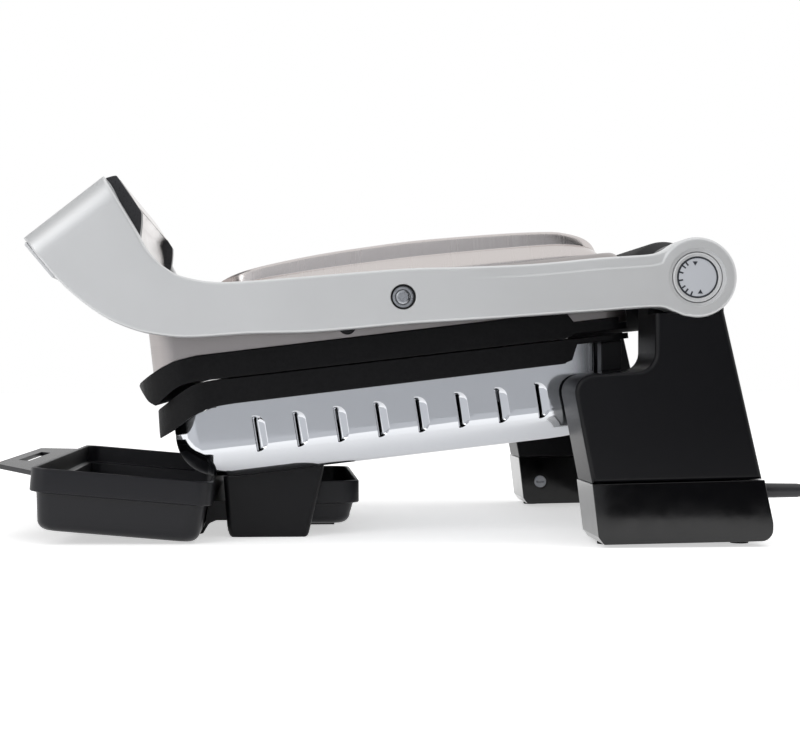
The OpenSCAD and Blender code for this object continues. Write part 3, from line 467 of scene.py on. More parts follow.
# Zinc-plated steel: bright with a faint blue passivate
zinc_plate = metal("zinc_plate", "#A9ACB2", 1.5, tints=("#A2A6AE", "#B2B2B4"),
                   gloss=(0.28, 0.4))
dressed("rear_bridge", satin_abs, 0.8)
dressed("rubber_feet", foot_rubber, 0.4)
dressed("rear_supports", satin_abs, 0.6)
# A wedge closes each support against the sloping ledge and the plate
wedge = profile([(-44.6, 90.4), (-34.4, 91), (-34.4, 109.5), (-44.6, 108.6)], 124, 138,
                (0.3, 0.3), 2)
piece("support_wedges", twinned(wedge), satin_abs, "base", "black_plastic")
dressed("pan_spacers", zinc_plate, 0.3)
dressed("base_screws", zinc_plate, 0.25)

# --- Hinge barrel and pins ---
# A moulded tube over the wiring between the ears, narrower at both ends, and ground
# steel pins that turn in sintered bronze bushes.
barrel_y = leg_y0 - 0.3
end = [(0, 6), (0, 18.2), (0.8, 19), (28, 23.2), (30.2, 23.6), (36.2, 24.4)]
other_end = [(2 * barrel_y - y, radius) for y, radius in end[::-1]]
barrel = turned(end + [(barrel_y, 24.6)] + other_end, (0, -barrel_y, hinge_z), 96)
# Grained ABS: black and matt
matt_abs = moulded("matt_abs", "#0A0A0C", 0.05, 0.6, height=0.01, gloss=(0.5, 0.62))
piece("barrel_cover", barrel, matt_abs, "base", "black_plastic", "hinge_barrel")
# Ground steel: bright, with fine turning marks round the pin
ground_steel = metal("ground_steel", "#B4B6BA", 0.4, height=0.002, gloss=(0.18, 0.3),
                     along=(8, 1, 8))
# Sintered bronze: matt brown-gold with open pores
bronze = metal("sintered_bronze", "#A98652", 0.35, height=0.01, gloss=(0.38, 0.55))
dressed("hinge_pins", ground_steel, 0.4)
dressed("hinge_bushes", bronze, 0.2)

# --- Louvred pan ---
# Deep-drawn stainless steel, 1.5 mm thick and mirror-polished, with eight hollow
# louvres pressed into each side. It hangs between the legs under the plate.
tilt = math.radians(6.6)
plane_z = 116.7
ON_PLANE = (Matrix.Translation((hinge_x, 0, plane_z / 1000))
            @ Matrix.Rotation(-tilt, 4, "Y") @ MM)
pan_x0, pan_x1, pan_y = -280, -34, 118
pan_drop, end_r, side_r, sheet = 54, 24, 18, 1.5


def ring(x0, x1, y0, y1, z, radius, steps=6):
    """A level loop of points round a rectangle with rounded corners."""
    made = []
    for x, y, start in ((x1, y1, 0), (x0, y1, 90), (x0, y0, 180), (x1, y0, 270)):
        centre = (x - radius if x == x1 else x + radius,
                  y - radius if y == y1 else y + radius)
        for k in range(steps + 1):
            turn = math.radians(start + 90 * k / steps)
            made.append((centre[0] + radius * math.cos(turn),
                         centre[1] + radius * math.sin(turn), z))
    return made


def loft(loops, joined=False):
    """Bridges loops of points one after another, and fills both ends or joins them."""
    bm = bmesh.new()
    rings = []
    for points in loops:
        verts = [bm.verts.new(p) for p in points]
        rings.append([bm.edges.new(pair) for pair in zip(verts, verts[1:] + verts[:1])])
    for a, b in zip(rings, rings[1:] + (rings[:1] if joined else [])):
        bmesh.ops.bridge_loops(bm, edges=a + b)
    if not joined:
        for last in (rings[0], rings[-1]):
            bmesh.ops.contextual_create(bm, geom=last)
    bmesh.ops.recalc_face_normals(bm, faces=bm.faces)
    return bm


def pan_loops(inset, top):
    """Loops down the pan's form, inset all round, from height top to its floor."""
    made = [ring(pan_x0 + inset, pan_x1 - inset, inset - pan_y, pan_y - inset, top,
                 13 - inset, 12)]
    flat = side_r - inset
    for k in range(17):
        turn = math.radians(90 * k / 16)
        z = end_r - pan_drop - (end_r - inset) * math.sin(turn)
        below = min(max(side_r - pan_drop - z, 0), flat)
        x = inset + (end_r - inset) * (1 - math.cos(turn))
        y = side_r - math.sqrt(flat ** 2 - below ** 2)
        made.append(ring(pan_x0 + x, pan_x1 - x, y - pan_y, pan_y - y, z,
                         13 - inset + 0.5 * y, 12))
    return made


louvre_n, louvre_pitch, louvre_x0, louvre_z = 8, 22.2, -234, -32


def louvres(front, steps):
    """The forms of all louvres, each from steps of depth, rear end and half height."""
    loops = []
    for depth, rear, high in steps:
        round_r = (rear - front - 0.6) * 0.9
        loops.append([(x, pan_y - depth, z) for x, z in rounded(
            [(front, -high, 0.6), (rear, -high, round_r), (rear, high, round_r),
             (front, high, 0.6)])])
    forms = []
    for i in range(louvre_n):
        form = loft(loops)
        form.transform(Matrix.Translation((louvre_x0 + i * louvre_pitch, 0, louvre_z))
                       @ Matrix.Rotation(math.radians(-2.4), 4, "Y"))
        forms += [form, mirrored(form)]
    return merged(*forms)


# What the plate cuts from the pan's top
pan_top = [(-300, 20), (-300, -35.8), (-278, -23.8), (-266, -17.3), (-258, -15.1),
           (-255.7, -15.1), (-255.7, -11.3), (-66.3, -11.3), (-66.3, -13.3),
           (-63, -13.3), (-58, -3.55), (0, -3.55), (0, 20)]
# The louvres seen from outside and from inside, and the room that the clips leave
pressed = louvres(-2.9, [(-0.3, 4.4, 10.8), (0, 3.9, 10.4), (0.12, 3.7, 10.2),
                         (0.4, 3.3, 9.9), (0.7, 2.3, 9.6), (1.0, 1.3, 9.4),
                         (1.4, 0.3, 9.2), (1.9, -0.6, 9), (2.6, -1.4, 8.8),
                         (3.3, -2.0, 8.6)])
backs = louvres(-2.6, [(0.8, 4.2, 10.8), (1.9, 2.6, 10.5), (3.0, 1.2, 10.2),
                       (4.3, 0.1, 9.8)])
clearance = louvres(-5, [(0.6, 4.6, 11.2), (4.7, 4.6, 11.2)])
hollow = carved(loft(pan_loops(sheet, 3)), backs)
pan = carved(loft(pan_loops(0, 2)), pressed, hollow, profile(pan_top, -half_w, half_w))
# Mirror-polished 304 steel: clear reflections, bent a little by the drawn sheet
polished_steel = metal("polished_steel", "#D2D4D8", 46, height=0.05, gloss=(0.05, 0.09))
piece("louvred_pan", pan, polished_steel, "base", "polished_steel",
      "lower_pan", place=ON_PLANE, sharp=40)

# --- Lower plate ---
# Die-cast aluminium with a baked non-stick coat: a sunken ribbed field, a front edge
# that droops over the pan, and a channel that takes the fat over it.
plate_y, plate_x0, plate_x1 = 145, -287.6, -30
field_x0, field_x1, field_y, field_drop = -252, -68, 133, 8
rib_pitch, rib_h = 12, 4.2


def field(z0, z1, swell):
    """The form that hollows a plate's cooking field, wider by swell at z1."""
    return loft([ring(field_x0 - s, field_x1 + s, -field_y - s, field_y + s, z, 8 + s)
                 for z, s in ((z0, -1.5), (z0 + (z1 - z0) * 0.08, -0.4),
                              (z0 + (z1 - z0) * 0.16, 0), (z1, swell))])


def rib_bars(z, up):
    """Rounded ribs along a cooking field at height z, pointing up or down."""
    section = rounded([(-2.9, -0.3, 0), (2.9, -0.3, 0), (1.0, rib_h, 0.9),
                       (-1.0, rib_h, 0.9)], 4)
    made = []
    count = int((field_y - 5) // rib_pitch)
    for i in range(-count, count + 1):
        bar = profile(section, 0, field_x1 - field_x0 - 9, (1.2, 1.2), 2)
        bar.transform(Matrix.Translation((field_x0 + 5, i * rib_pitch, z))
                      @ Matrix.Scale(up, 4, (0, 0, 1))
                      @ Matrix.Rotation(math.radians(-90), 4, "Z"))
        made.append(bar)
    return made


def plate_block(outline, x0, rim):
    """A plate's side outline across its width, its plan corners rounded."""
    side = plate_y + 0.02
    corners = [loft([ring(x0 - 0.02, x1, -side, side, z, r, 12) for z in (-60, 60)])
               for x1, r in ((plate_x1 + 0.02, 12), (plate_x1 + 40, 27))]
    return carved(profile(outline, -plate_y, plate_y, (rim, rim), 3), *corners,
                  operation="INTERSECT")


lower_line = ([(plate_x1, -0.12)]
              + flowing([(-258, -0.12), (-266, -1.7), (-274, -5.5), (-281, -9.6),
                         (-285.6, -12.2)], 4)
              + [(-286.4, -13), (plate_x0, -27.2)]
              + flowing([(-286.9, -28), (-278, -23.5), (-266, -17), (-256, -14.3),
                         (-245, -13.6)], 4)
              + [(-69, -13), (-63.5, -11.5), (-59.8, -3.25), (plate_x1, -3.25)])
spout = profile([(field_x0 + 2, 5), (field_x0 + 2, -field_drop),
                 (-268, -field_drop - 2), (-280, -16), (plate_x0 - 2, -21),
                 (plate_x0 - 2, 5)], -17, 17)
pocket = box((-256, 4 - plate_y, -40), (-66, plate_y - 4, -11))
lower_plate = merged(
    carved(plate_block(lower_line, plate_x0, 0.6), field(-field_drop, 1, 3), spout,
           pocket), *rib_bars(-field_drop, 1))
# PTFE coat over grit-blasted casting: black, with pale specks and a fine grain
cast_coat = pattern(moulded("nonstick_cast", "#060607", 0.17, 1.6, height=0.02,
                            tints=("#060608", "#0E0E10")), 0.8, height=0.02,
                    gloss=(0.42, 0.6))
piece("lower_plate_casting", lower_plate, cast_coat, "base", "plate_coating",
      "lower_grill_plate", place=ON_PLANE)

# --- Front stand ---
# A moulded shoe under each front corner of the pan, joined by a low shelf whose tongue
# bears the spare tray and by a beam that the front tray hangs on.
stand_y0, stand_y1 = 83, 98


def shoe():
    """One shoe: it widens upwards and is cut to the pan's form."""
    return loft([ring(x0, x1, stand_y0, stand_y1 - slant, z, radius, 5)
                 for x0, x1, slant, z, radius in (
                     (-244.4, -203.4, 1.4, 0, 2), (-245.5, -202.3, 0.9, 0.8, 3),
                     (-246.1, -201.7, 0.8, 2.2, 3), (-247, -200.8, 0.6, 6, 3),
                     (-249.3, -194.2, 0, 34, 3), (-249.3, -192.6, 0, 45, 3))])


seat_form = loft(pan_loops(-0.3, 20))
seat_form.transform(BY_HINGE.inverted() @ ON_PLANE)
shelf = profile([(-247, 2.5), (-205, 2.5), (-205, 5), (-240, 5), (-247, 8)],
                -stand_y0 - 1, stand_y0 + 1, (0.5, 0.5), 2)
tongue = profile([(-206, 2.5), (-186, 2.5), (-186, 5), (-206, 5)],
                 -46, 46, (0.5, 0.5), 2)
beam = profile(rounded([(-262.6, 1.6, 0.2), (-260.3, 2.1, 1), (-257, 7.6, 3),
                        (-253, 9.3, 3), (-242.4, 9.3, 1), (-242.4, 20.1, 1),
                        (-257.2, 20.1, 0.8), (-260, 4, 1)], 3),
               3 - stand_y1, stand_y1 - 3, (0.3, 0.3), 3)
stand = merged(carved(merged(shoe(), mirrored(shoe())), seat_form), shelf, tongue, beam)
piece("front_shoes", stand, satin_abs, "base", "black_plastic", "front_stand")

# --- Heater, reflector and controls under the plate ---
# A tubular heater in saddles on a bright aluminium reflector, a spring thermostat, a
# thermal fuse, plate clips and the mains terminal block.
# Incoloy sheath after many heatings: matt straw-brown to grey
heater_sheath = metal("heater_sheath", "#6E655C", 14, tints=("#7A6E60", "#5C5A5C"),
                      gloss=(0.4, 0.55))
# Bright rolled aluminium: mill lines along the sheet
rolled_aluminium = metal("rolled_aluminium", "#C9CCD1", 0.5, height=0.003,
                         gloss=(0.2, 0.34), along=(40, 1, 1))
# Spring steel, blued a little at its bends
spring_steel = metal("spring_steel", "#9C9FA4", 5, tints=("#989CA4", "#A4A29E"),
                     gloss=(0.25, 0.4))
# Steatite ceramic: off-white, dull, slightly mottled
steatite = moulded("steatite", "#DDD8CB", 0.4, 3, tints=("#D6D0C2", "#E2DED2"),
                   gloss=(0.5, 0.65))
for name, finish, edge in (
        ("lower_element", heater_sheath, 0), ("lower_reflector", rolled_aluminium, 0),
        ("thermostat", steatite, 0.3), ("thermal_fuse", steatite, 0.2),
        ("terminal_block", steatite, 0.5),
        ("upper_element", heater_sheath, 0), ("upper_reflector", rolled_aluminium, 0),
        ("upper_thermostat", steatite, 0.3), ("upper_plate_clips", spring_steel, 0.3)):
    dressed(name, finish, edge)
clips = bmesh.new()
clips.from_mesh(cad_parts["lower_plate_clips"].data)
clips.transform(MM.inverted())
bmesh.ops.remove_doubles(clips, verts=clips.verts, dist=1e-3)
clearance.transform(MM.inverted() @ ON_PLANE)
piece("plate_spring_clips", carved(clips, clearance), spring_steel, "base",
      "sheet_metal", "lower_plate_clips", place=MM)

# --- Lid frame arms ---
# Aluminium die castings in silver lacquer, mirror images: a flat bar that turns up into
# the handle in front and ends in the hinge boss behind, its upper edge stepped back.
arm_y0, arm_y1 = 149.8, 171.8
reach, handle_rise = 349.5, 19.2
# The panel's rear corner and the lower edge's turn, from the handle's front edge
panel_run, panel_rise = 40.9, 32.3
nose = (17, -20.3)


def by_handle(points):
    """Points from the handle's front edge, as points from the hinge axis."""
    return [(x - reach, z + handle_rise + hinge_z) for x, z in points]


# Upper and lower edge of the arm, station by station from the handle to the boss
upper_edge = by_handle([(panel_run, panel_rise), (45.1, 25.3), (49.6, 17.8),
                        (53.8, 10.9), (57.8, 4), (62.3, -4.2), (67.4, -10.4),
                        (73.8, -15.6), (81.6, -19.5), (98.1, -22.3), (120, -21.4),
                        (149.6, -18.9)])
upper_edge += by_axis([(-153.1, 4.1), (-125, 5), (-92.8, 6.4), (-72, 8.1),
                       (-52.3, 10.1), (-36, 11.2), (-24, 12.2), (-16.4, 14.6),
                       (-9.5, 18.8), (-5, 20.3)])
lower_edge = by_handle([(0, 0), (5, -6), (10.5, -12.5), nose, (23, -26.3),
                        (32.4, -34.2), (44.3, -41.9), (57.5, -47.3), (69.2, -49.7),
                        (85.6, -50.9), (116.3, -48.9), (149.6, -48)])
lower_edge += by_axis([(-153.1, -24.6), (-125, -22.8), (-92.8, -20.6), (-72, -19.1),
                       (-51.2, -17.7), (-36, -16.4), (-20, -15.7), (-13, -17.8),
                       (-7, -20.2), (-5, -20.3)])
rim = 1.7
# A quarter round from side to face, as shares of its radius
quarter = ((0, 1), (0.1, 0.56), (0.29, 0.29), (0.56, 0.1), (1, 0))


def arm_section(low, high, step):
    """The arm's cross-section at one station, its upper band set back by step mm."""
    up = (high - low).normalized()
    height = (high - low).length
    band = height - 6
    top = arm_y1 - step * 1.5
    outline = [(0, arm_y0 + rim)]
    outline += [(a * rim, arm_y1 - b * rim) for a, b in quarter]
    outline += [(5, arm_y1), (band - 0.9, arm_y1), (band - 0.3, arm_y1 - 0.1 * step),
                (band + 0.2, arm_y1 - 0.9 * step), (band + 0.8, arm_y1 - step)]
    outline += [(height - b * rim, top - a * rim) for a, b in quarter]
    outline += [(height, arm_y0 + rim), (height - 0.29 * rim, arm_y0 + 0.29 * rim),
                (height - rim, arm_y0), (rim, arm_y0),
                (0.29 * rim, arm_y0 + 0.29 * rim)]
    return [((low + up * h).x, y, (low + up * h).y) for h, y in outline]


arm_bar = loft([arm_section(low, high, 0.01 + 0.5 * min(max((high.x + 122) / 25, 0), 1))
                for low, high in zip(flowing(lower_edge, 5), flowing(upper_edge, 5))])
# The outer face rolls in towards the handle's panel
roll_r, roll_w = 16.5, 13.5
panel_l = math.hypot(panel_run, panel_rise)
for v in arm_bar.verts:
    from_panel = ((v.co.x + reach) * panel_rise
                  - (v.co.z - hinge_z - handle_rise) * panel_run) / panel_l
    inside = roll_w - max(from_panel, 0)
    if inside > 0 and v.co.y > arm_y0 + 8:
        v.co.y -= roll_r - math.sqrt(roll_r ** 2 - inside ** 2)
pivot_x, pivot_z = -154.2, 130.6
recess_r = 6.5
ring_r, button_r = 13.3, 10.6
boss = turned([(0, 0), (0, boss_r - 1.2), (0.4, boss_r - 0.4), (1.2, boss_r),
               (20.2, boss_r), (21.2, boss_r - 0.35), (21.8, boss_r - 1.1),
               (22.05, boss_r - 2), (22.05, 0)], (0, arm_y0, hinge_z), 128)
# Round the ring: its seat, and a shallow channel outside it
ring_seat = turned([(17, 0), (17, ring_r + 0.15), (21.3, ring_r + 0.15),
                    (21.45, ring_r + 0.5), (21.5, ring_r + 1), (21.7, ring_r + 1.9),
                    (23, ring_r + 2.4), (23, 0)], (0, arm_y0, hinge_z), 128)
screw_hole = turned([(0, 0), (0, recess_r), (5.4, recess_r), (6.1, recess_r + 0.6),
                     (7, recess_r + 1.4), (7, 0)], (pivot_x, arm_y1 - 6, pivot_z), 64)
arm = carved(carved(arm_bar, boss, operation="UNION"), screw_hole, ring_seat)
# Silver lacquer over a casting: satin, with aluminium flake and a faint mottle
silver_lacquer = pattern(pattern(
    surface("silver_lacquer", "#D2D3D4", metallic=0.35, specular_ior_level=0.5),
    60, tints=("#D0D1D2", "#D6D7D8")), 0.45, height=0.004, gloss=(0.32, 0.42))
sided("arm_casting", arm, silver_lacquer, "lid_frame", "cast_silver", "arm", sharp=50)

# --- Hinge button and ring ---
# A turned ring in the right boss, with a push button inside it. The button's face is
# printed with a scale of ticks and two triangles; the left boss has a plain cap.
face_y = -arm_y1
dial = turned([(0.3, button_r + 0.3), (-0.15, button_r + 0.7), (-0.3, ring_r - 0.9),
               (0, ring_r - 0.5), (0.6, ring_r - 0.25), (5, ring_r - 0.25),
               (5, button_r + 0.3), (0.3, button_r + 0.3)],
              (0, face_y, hinge_z), 96)
# Turned aluminium, anodised: bright with fine circular marks
bright_ring = metal("anodised_ring", "#D2D3D6", 0.5, height=0.002, gloss=(0.2, 0.3))
piece("dial_bezel", dial, silver_lacquer, "lid_frame", "cast_silver", "dial_ring")
button = turned([(0.25, 0), (0.25, button_r - 1.0), (0.4, button_r - 0.4),
                 (0.9, button_r), (5.3, button_r), (5.3, button_r + 1.5),
                 (7.2, button_r + 1.5), (7.2, 0)], (0, face_y, hinge_z), 96)
# Satin polycarbonate in silver: even and soft
silver_cap = pattern(surface("silver_cap", "#CDD0D6", metallic=0.2), 0.6,
                     height=0.003, gloss=(0.3, 0.38))
piece("hinge_push_button", button, silver_cap, "release_button", "key_metal",
      "release_button")
cap = turned([(-0.1, 0), (-0.1, 10.2), (-0.3, 10.8), (-0.3, 12.6), (0.1, 13.2),
              (0.6, ring_r), (4.7, ring_r), (4.7, 0)], (0, 0, 0), 96)
bmesh.ops.scale(cap, vec=(1, -1, 1), verts=cap.verts)
bmesh.ops.translate(cap, vec=(0, arm_y1, hinge_z), verts=cap.verts)
piece("left_boss_cap", cap, bright_ring, "lid_frame", "cast_silver", "hinge_cap")
marks = []
for angle in (129, 143, 164, 190, 214, 230, 249):
    tick = box((7.9, face_y + 0.12, -0.4), (10.2, face_y + 0.5, 0.4))
    tick.transform(Matrix.Translation((0, 0, hinge_z))
                   @ Matrix.Rotation(-math.radians(angle), 4, "Y"))
    marks.append(tick)
for x, z, way in ((-1.35, 7.4, -1), (1.4, -7.6, 1)):
    marks.append(profile(by_axis([(x - 1.35, z - way * 0.9), (x + 1.35, z - way * 0.9),
                                  (x, z + way * 1.3)]), face_y + 0.12, face_y + 0.5))
# A flat charcoal ring over the button's rim is painted shade for the dark groove
# between button and ring
groove_shade = turned([(0.12, button_r - 0.6), (0.12, button_r + 0.2), (0.6, button_r + 0.2),
                 (0.6, button_r - 0.6), (0.12, button_r - 0.6)],
                (0, face_y, hinge_z), 96)
# Pad-printing ink: flat charcoal, which also paints the shade of the groove round the
# button
ink_and_groove_shade = pattern(surface("printed_ink_and_groove_shade", "#2C2F36"), 0.8, gloss=(0.45, 0.6))
piece("button_marks_and_groove_shade", merged(*marks, groove_shade), ink_and_groove_shade, "release_button", "key_metal")


# --- Pivot screws ---
# Plated shoulder screws with a six-lobe socket, over a bright washer at the bottom of
# each recess, whose wall is lined in black as painted shade. The upper plate turns on
# their shanks.
def screw():
    """One pivot screw, its axis along Y through the arm."""
    head = turned([(137.4, 0), (137.4, 5.5), (138.7, 5.5), (138.7, 4), (166.8, 4),
                   (166.8, 3.9), (169, 3.9), (169.6, 3.7), (169.9, 3.2), (170, 2.6),
                   (170, 0)], (pivot_x, 0, pivot_z), 64)
    socket = [rod(2, 0, 6, (pivot_x, 167.2, pivot_z), 32)]
    for k in range(6):
        turn = math.radians(60 * k + 20)
        socket.append(rod(0.62, 0, 6, (pivot_x + 2.05 * math.cos(turn), 167.2,
                                       pivot_z + 2.05 * math.sin(turn)), 16))
    return carved(head, *socket)


piece("pivot_screw_pair", twinned(screw()), ground_steel, "lid_frame", "steel_pin",
      "pivot_screws")
dressed("pivot_washers", ground_steel, 0.15)
# A black lining on each recess's wall: painted shade where the recess goes dark
shade_lining = turned([(166.7, 5.5), (166.7, 6.45), (171.2, 6.45), (171.4, 6.2), (171.2, 5.7),
               (170.6, 5.5), (166.7, 5.5)], (pivot_x, 0, pivot_z), 64)
piece("recess_shade_linings", twinned(shade_lining), satin_abs, "lid_frame", "black_plastic")

# --- Handle ---
# A hollow casting in the arms' lacquer with the control panel let into its top. A
# polished cover closes its rear, and a rubber grip end sits beside each arm.
section = by_handle([(0, 0), (panel_run, panel_rise), (44.5, 27.5), (50, 15), (52.5, 4),
                     (51.5, -8), (47, -20), (39, -29), (30.5, -32), nose])
panel_angle = math.atan2(panel_rise, panel_run)
ON_PANEL = (Matrix.Translation((hinge_x - reach / 1000, 0,
                                (hinge_z + handle_rise) / 1000))
            @ Matrix.Rotation(-panel_angle, 4, "Y") @ MM)
TO_PANEL = BY_HINGE.inverted() @ ON_PANEL
panel_margin, panel_t = 3, 3
handle_y = arm_y0 + 0.1
outside = [section[0]] + flowing(section[1:9], 4) + [section[9]]
rear_face = section[6:1:-1]
inside = by_handle([(8.2, 2.4), (38.6, 26.6), (42.4, 24.2), (47.4, 13.6), (49.8, 3.6),
                    (49, -7.2), (44.9, -18.4), (37.6, -26.8), (31.2, -29.2),
                    (18.4, -17.9)])
bed = box((panel_margin, -handle_y - 1, -6), (panel_l - panel_margin, handle_y + 1, 2))
bed.transform(TO_PANEL)
shell = carved(profile(outside, -handle_y, handle_y),
               profile(inside, -handle_y - 1, handle_y + 1), bed)
piece("handle_casting", shell, silver_lacquer, "lid_frame", "cast_silver",
      "handle_shell", sharp=30)

back = by_handle([(panel_run, panel_rise), (45.9, 34.2)])
back += flowing(by_handle([(47.6, 32.6), (55, 21.6), (55, 20), (53.2, 18),
                           (52.2, 15.4)]), 2)
back += flowing(by_handle([(53.4, 10), (54, 3), (53, -8), (48.8, -20.6)]), 4)
back += flowing(rear_face, 4)
# Chrome-plated ABS: bright, with a slight waviness of the moulding under it
bright_plating = metal("bright_plating", "#D8D2D0", 30, height=0.03, gloss=(0.16, 0.24))
piece("handle_pull", profile(back, 12 - handle_y, handle_y - 12), bright_plating,
      "lid_frame", "handle_metal", "handle_back", sharp=30)

grip = flowing(by_handle(
    [(40.6, 32.9), (45.6, 34.2), (47.2, 32.8), (50, 28.7), (58, 17), (59.2, 13.5),
     (58.7, 5.2), (57, -5), (54.5, -15), (51.5, -22)]), 3)
grip += flowing(rear_face, 3) + [section[1]]
end_cap = profile(grip, 137.8, arm_y0, (1.0, 0.4), 3)
# Moulded rubber: black with a soft sheen, finely spark-textured
grip_rubber = moulded("grip_rubber", "#29292C", 0.5, 0.7, height=0.02,
                      gloss=(0.24, 0.4))
piece("grip_ends", twinned(end_cap), grip_rubber, "lid_frame", "grip_rubber",
      "handle_pads")

edge = Vector(nose)
out = Vector((edge.y, -edge.x)).normalized()
strip = profile(by_handle([edge * 0.1, edge * 0.14 + out * 1.5,
                           edge * 0.96 + out * 1.5, edge * 0.97]),
                2 - arm_y1, arm_y1 - 2)
eased(strip, strip.edges[:], 0.35, 2)
# Brushed aluminium: grain of 0.3 mm along the strip, drawn at 0.6 mm to show
brushed_strip = pattern(surface("brushed_strip", "#D4D5D7", metallic=0.2), 0.6,
                        height=0.004, gloss=(0.35, 0.45), along=(1, 60, 1))
piece("handle_front_strip", strip, brushed_strip, "lid_frame", "brushed_cover",
      "handle_trim")

# --- Control panel ---
# A gloss panel flush in the handle's top face, with a recessed liquid-crystal display
# and three steel keys that press a circuit board hung beneath.
window_x, window_y = (12, 40), 38
key_x, key_r = panel_l / 2, 6
keys = {"power_button": -70, "minus_button": 62, "plus_button": 86}
fascia = carved(box((panel_margin, 0.4 - handle_y, -panel_t),
                    (panel_l - panel_margin, handle_y - 0.4, 0), 0.4, 2,
                    lambda e: all(v.co.z > -0.01 for v in e.verts)),
                box((window_x[0], -window_y, -1.4), (window_x[1], window_y, 2), 1.5, 4,
                    upright),
                *[turned([(-4, 0), (-4, key_r + 0.25), (-0.3, key_r + 0.25),
                          (0.4, key_r + 0.95), (1, key_r + 0.95), (1, 0)],
                         (key_x, y, 0), axis=(0, 0, 1)) for y in keys.values()])
piece("control_panel", fascia, gloss_abs, "lid_frame", "gloss_black", "control_fascia",
      place=ON_PANEL)
glass = box((window_x[0] + 0.05, 0.05 - window_y, -1.35),
            (window_x[1] - 0.05, window_y - 0.05, -0.35), 1.4, 4, upright)
# Unlit display behind acrylic: dark grey-green under a clear gloss
display_glass = pattern(surface("display_glass", "#39443F", specular_ior_level=0.6,
                                coat_weight=0.6, coat_roughness=0.04), 2.2,
                        tints=("#36413C", "#3D4843"), gloss=(0.05, 0.09))
piece("display_window_pane", glass, display_glass, "lid_frame", "display_glass",
      "display_window", place=ON_PANEL)
# Turned stainless steel: fine circular marks, satin
key_steel = metal("key_steel", "#C3C4C8", 0.5, height=0.003, gloss=(0.24, 0.34))
for name, y in keys.items():
    key = turned([(-6, 0), (-6, key_r + 1.2), (-3.3, key_r + 1.2), (-3.3, key_r),
                  (-0.2, key_r), (0.1, key_r - 0.25), (0.25, key_r - 0.8),
                  (0.05, 2.5), (0, 0)], (key_x, y, 0), 64, (0, 0, 1))
    piece(name.replace("button", "key"), key, key_steel, name, "key_metal", name,
          place=ON_PANEL)
# Glass-epoxy board under green solder mask
solder_mask = moulded("solder_mask", "#2C6A3F", 0.5, 4, tints=("#28633A", "#307044"),
                      gloss=(0.25, 0.35))
dressed("control_board", solder_mask, 0)

# --- Upper plate ---
# The lower plate's twin, ribs down: its front end wraps down over the lower plate as a
# lip, and its flanks stand proud of the housing.
upper_line = ([(plate_x1, 5.6), (-36, 5.6), (-36, 8.6), (-60.3, 8.6), (-64, 14.5)]
              + flowing([(-262, 13.7), (-268.6, 12.9), (-274.2, 12), (-281, 9.6),
                         (plate_x0, 6.6), (-294.2, 2.8)], 3)
              + flowing([(-295.3, 1.3), (-293.1, -3.2), (-290.5, -7.5),
                         (plate_x0 + 0.6, -10)], 3)
              + flowing([(plate_x0 + 1.2, -10), (-280, -5.2), (-273, -1.3),
                         (-264, 0.25)], 4)
              + [(-66, 0.25), (-60, 2.2), (plate_x1, 2.2)])
upper_field = field(-field_drop, 2, 3)
upper_field.transform(Matrix.Scale(-1, 4, (0, 0, 1)))
bmesh.ops.reverse_faces(upper_field, faces=upper_field.faces)
upper_block = carved(plate_block(upper_line, -295.4, 0.7), upper_field,
                     box((-256, 4 - plate_y, 11), (-68, plate_y - 4, 40)))
piece("upper_plate_casting", merged(upper_block, *rib_bars(field_drop, -1)), cast_coat,
      "upper_unit", "plate_coating", "upper_grill_plate", place=ON_PLANE)

# --- Upper housing ---
# Metallic-finish moulding over the upper heater: an upright skirt, a soft shoulder and
# an opening for the dome, with a pivot boss inside each flank.
hood_x0, hood_x1, hood_y = -286.5, -29, 143
hood_h, hood_r, hood_ease, hood_wall = 44, 14, 6, 2.5


def hood_loops(inset, low):
    """Loops up the housing's form from low, and round its shoulder to its top."""
    loops = [ring(hood_x0 + inset, hood_x1 - inset, inset - hood_y, hood_y - inset,
                  z, hood_r - inset, 10) for z in (low, hood_h - hood_ease)]
    for k in range(1, 9):
        turn = math.radians(90 * k / 8)
        d = inset + (hood_ease - inset) * (1 - math.cos(turn))
        loops.append(ring(hood_x0 + d, hood_x1 - d, d - hood_y, hood_y - d,
                          hood_h - hood_ease + (hood_ease - inset) * math.sin(turn),
                          hood_r - d, 10))
    return loops


# The dome overlaps this opening by 6 mm
opening = ring(-243, -43, -116, 116, hood_h, 10, 10)
under_opening = [(x, y, hood_h - hood_wall) for x, y, _ in opening]
skirt = loft(hood_loops(hood_wall, -15)[::-1] + hood_loops(0, -14)
             + [opening, under_opening], joined=True)
skirt_cut = profile([(-300, -30), (-300, 7), (plate_x0, 6.9), (-281, 9.9),
                     (-274.2, 12.3), (-268.6, 13.2), (-262, 14), (-64, 14.8),
                     (-60.3, 8.9), (-35.7, 8.9), (-35.7, 5.9), (0, 5.9), (0, -30)],
                    -half_w, half_w)
release_x, release_z = -181, 20.5
release_hole = rod(4.75, -2, 6, (release_x, -hood_y, release_z))
inner_boss = rod(9, -14, 6.4, (0, hood_y, 0))
pivot_bore = rod(4.05, -20, 9, (0, hood_y, 0), 44)
TO_PLANE = ON_PLANE.inverted() @ BY_HINGE
for form in (inner_boss, pivot_bore):
    form.transform(TO_PLANE @ Matrix.Translation((pivot_x, 0, pivot_z)))
housing = carved(carved(carved(skirt, skirt_cut), inner_boss, mirrored(inner_boss),
                        operation="UNION"),
                 pivot_bore, mirrored(pivot_bore), release_hole)
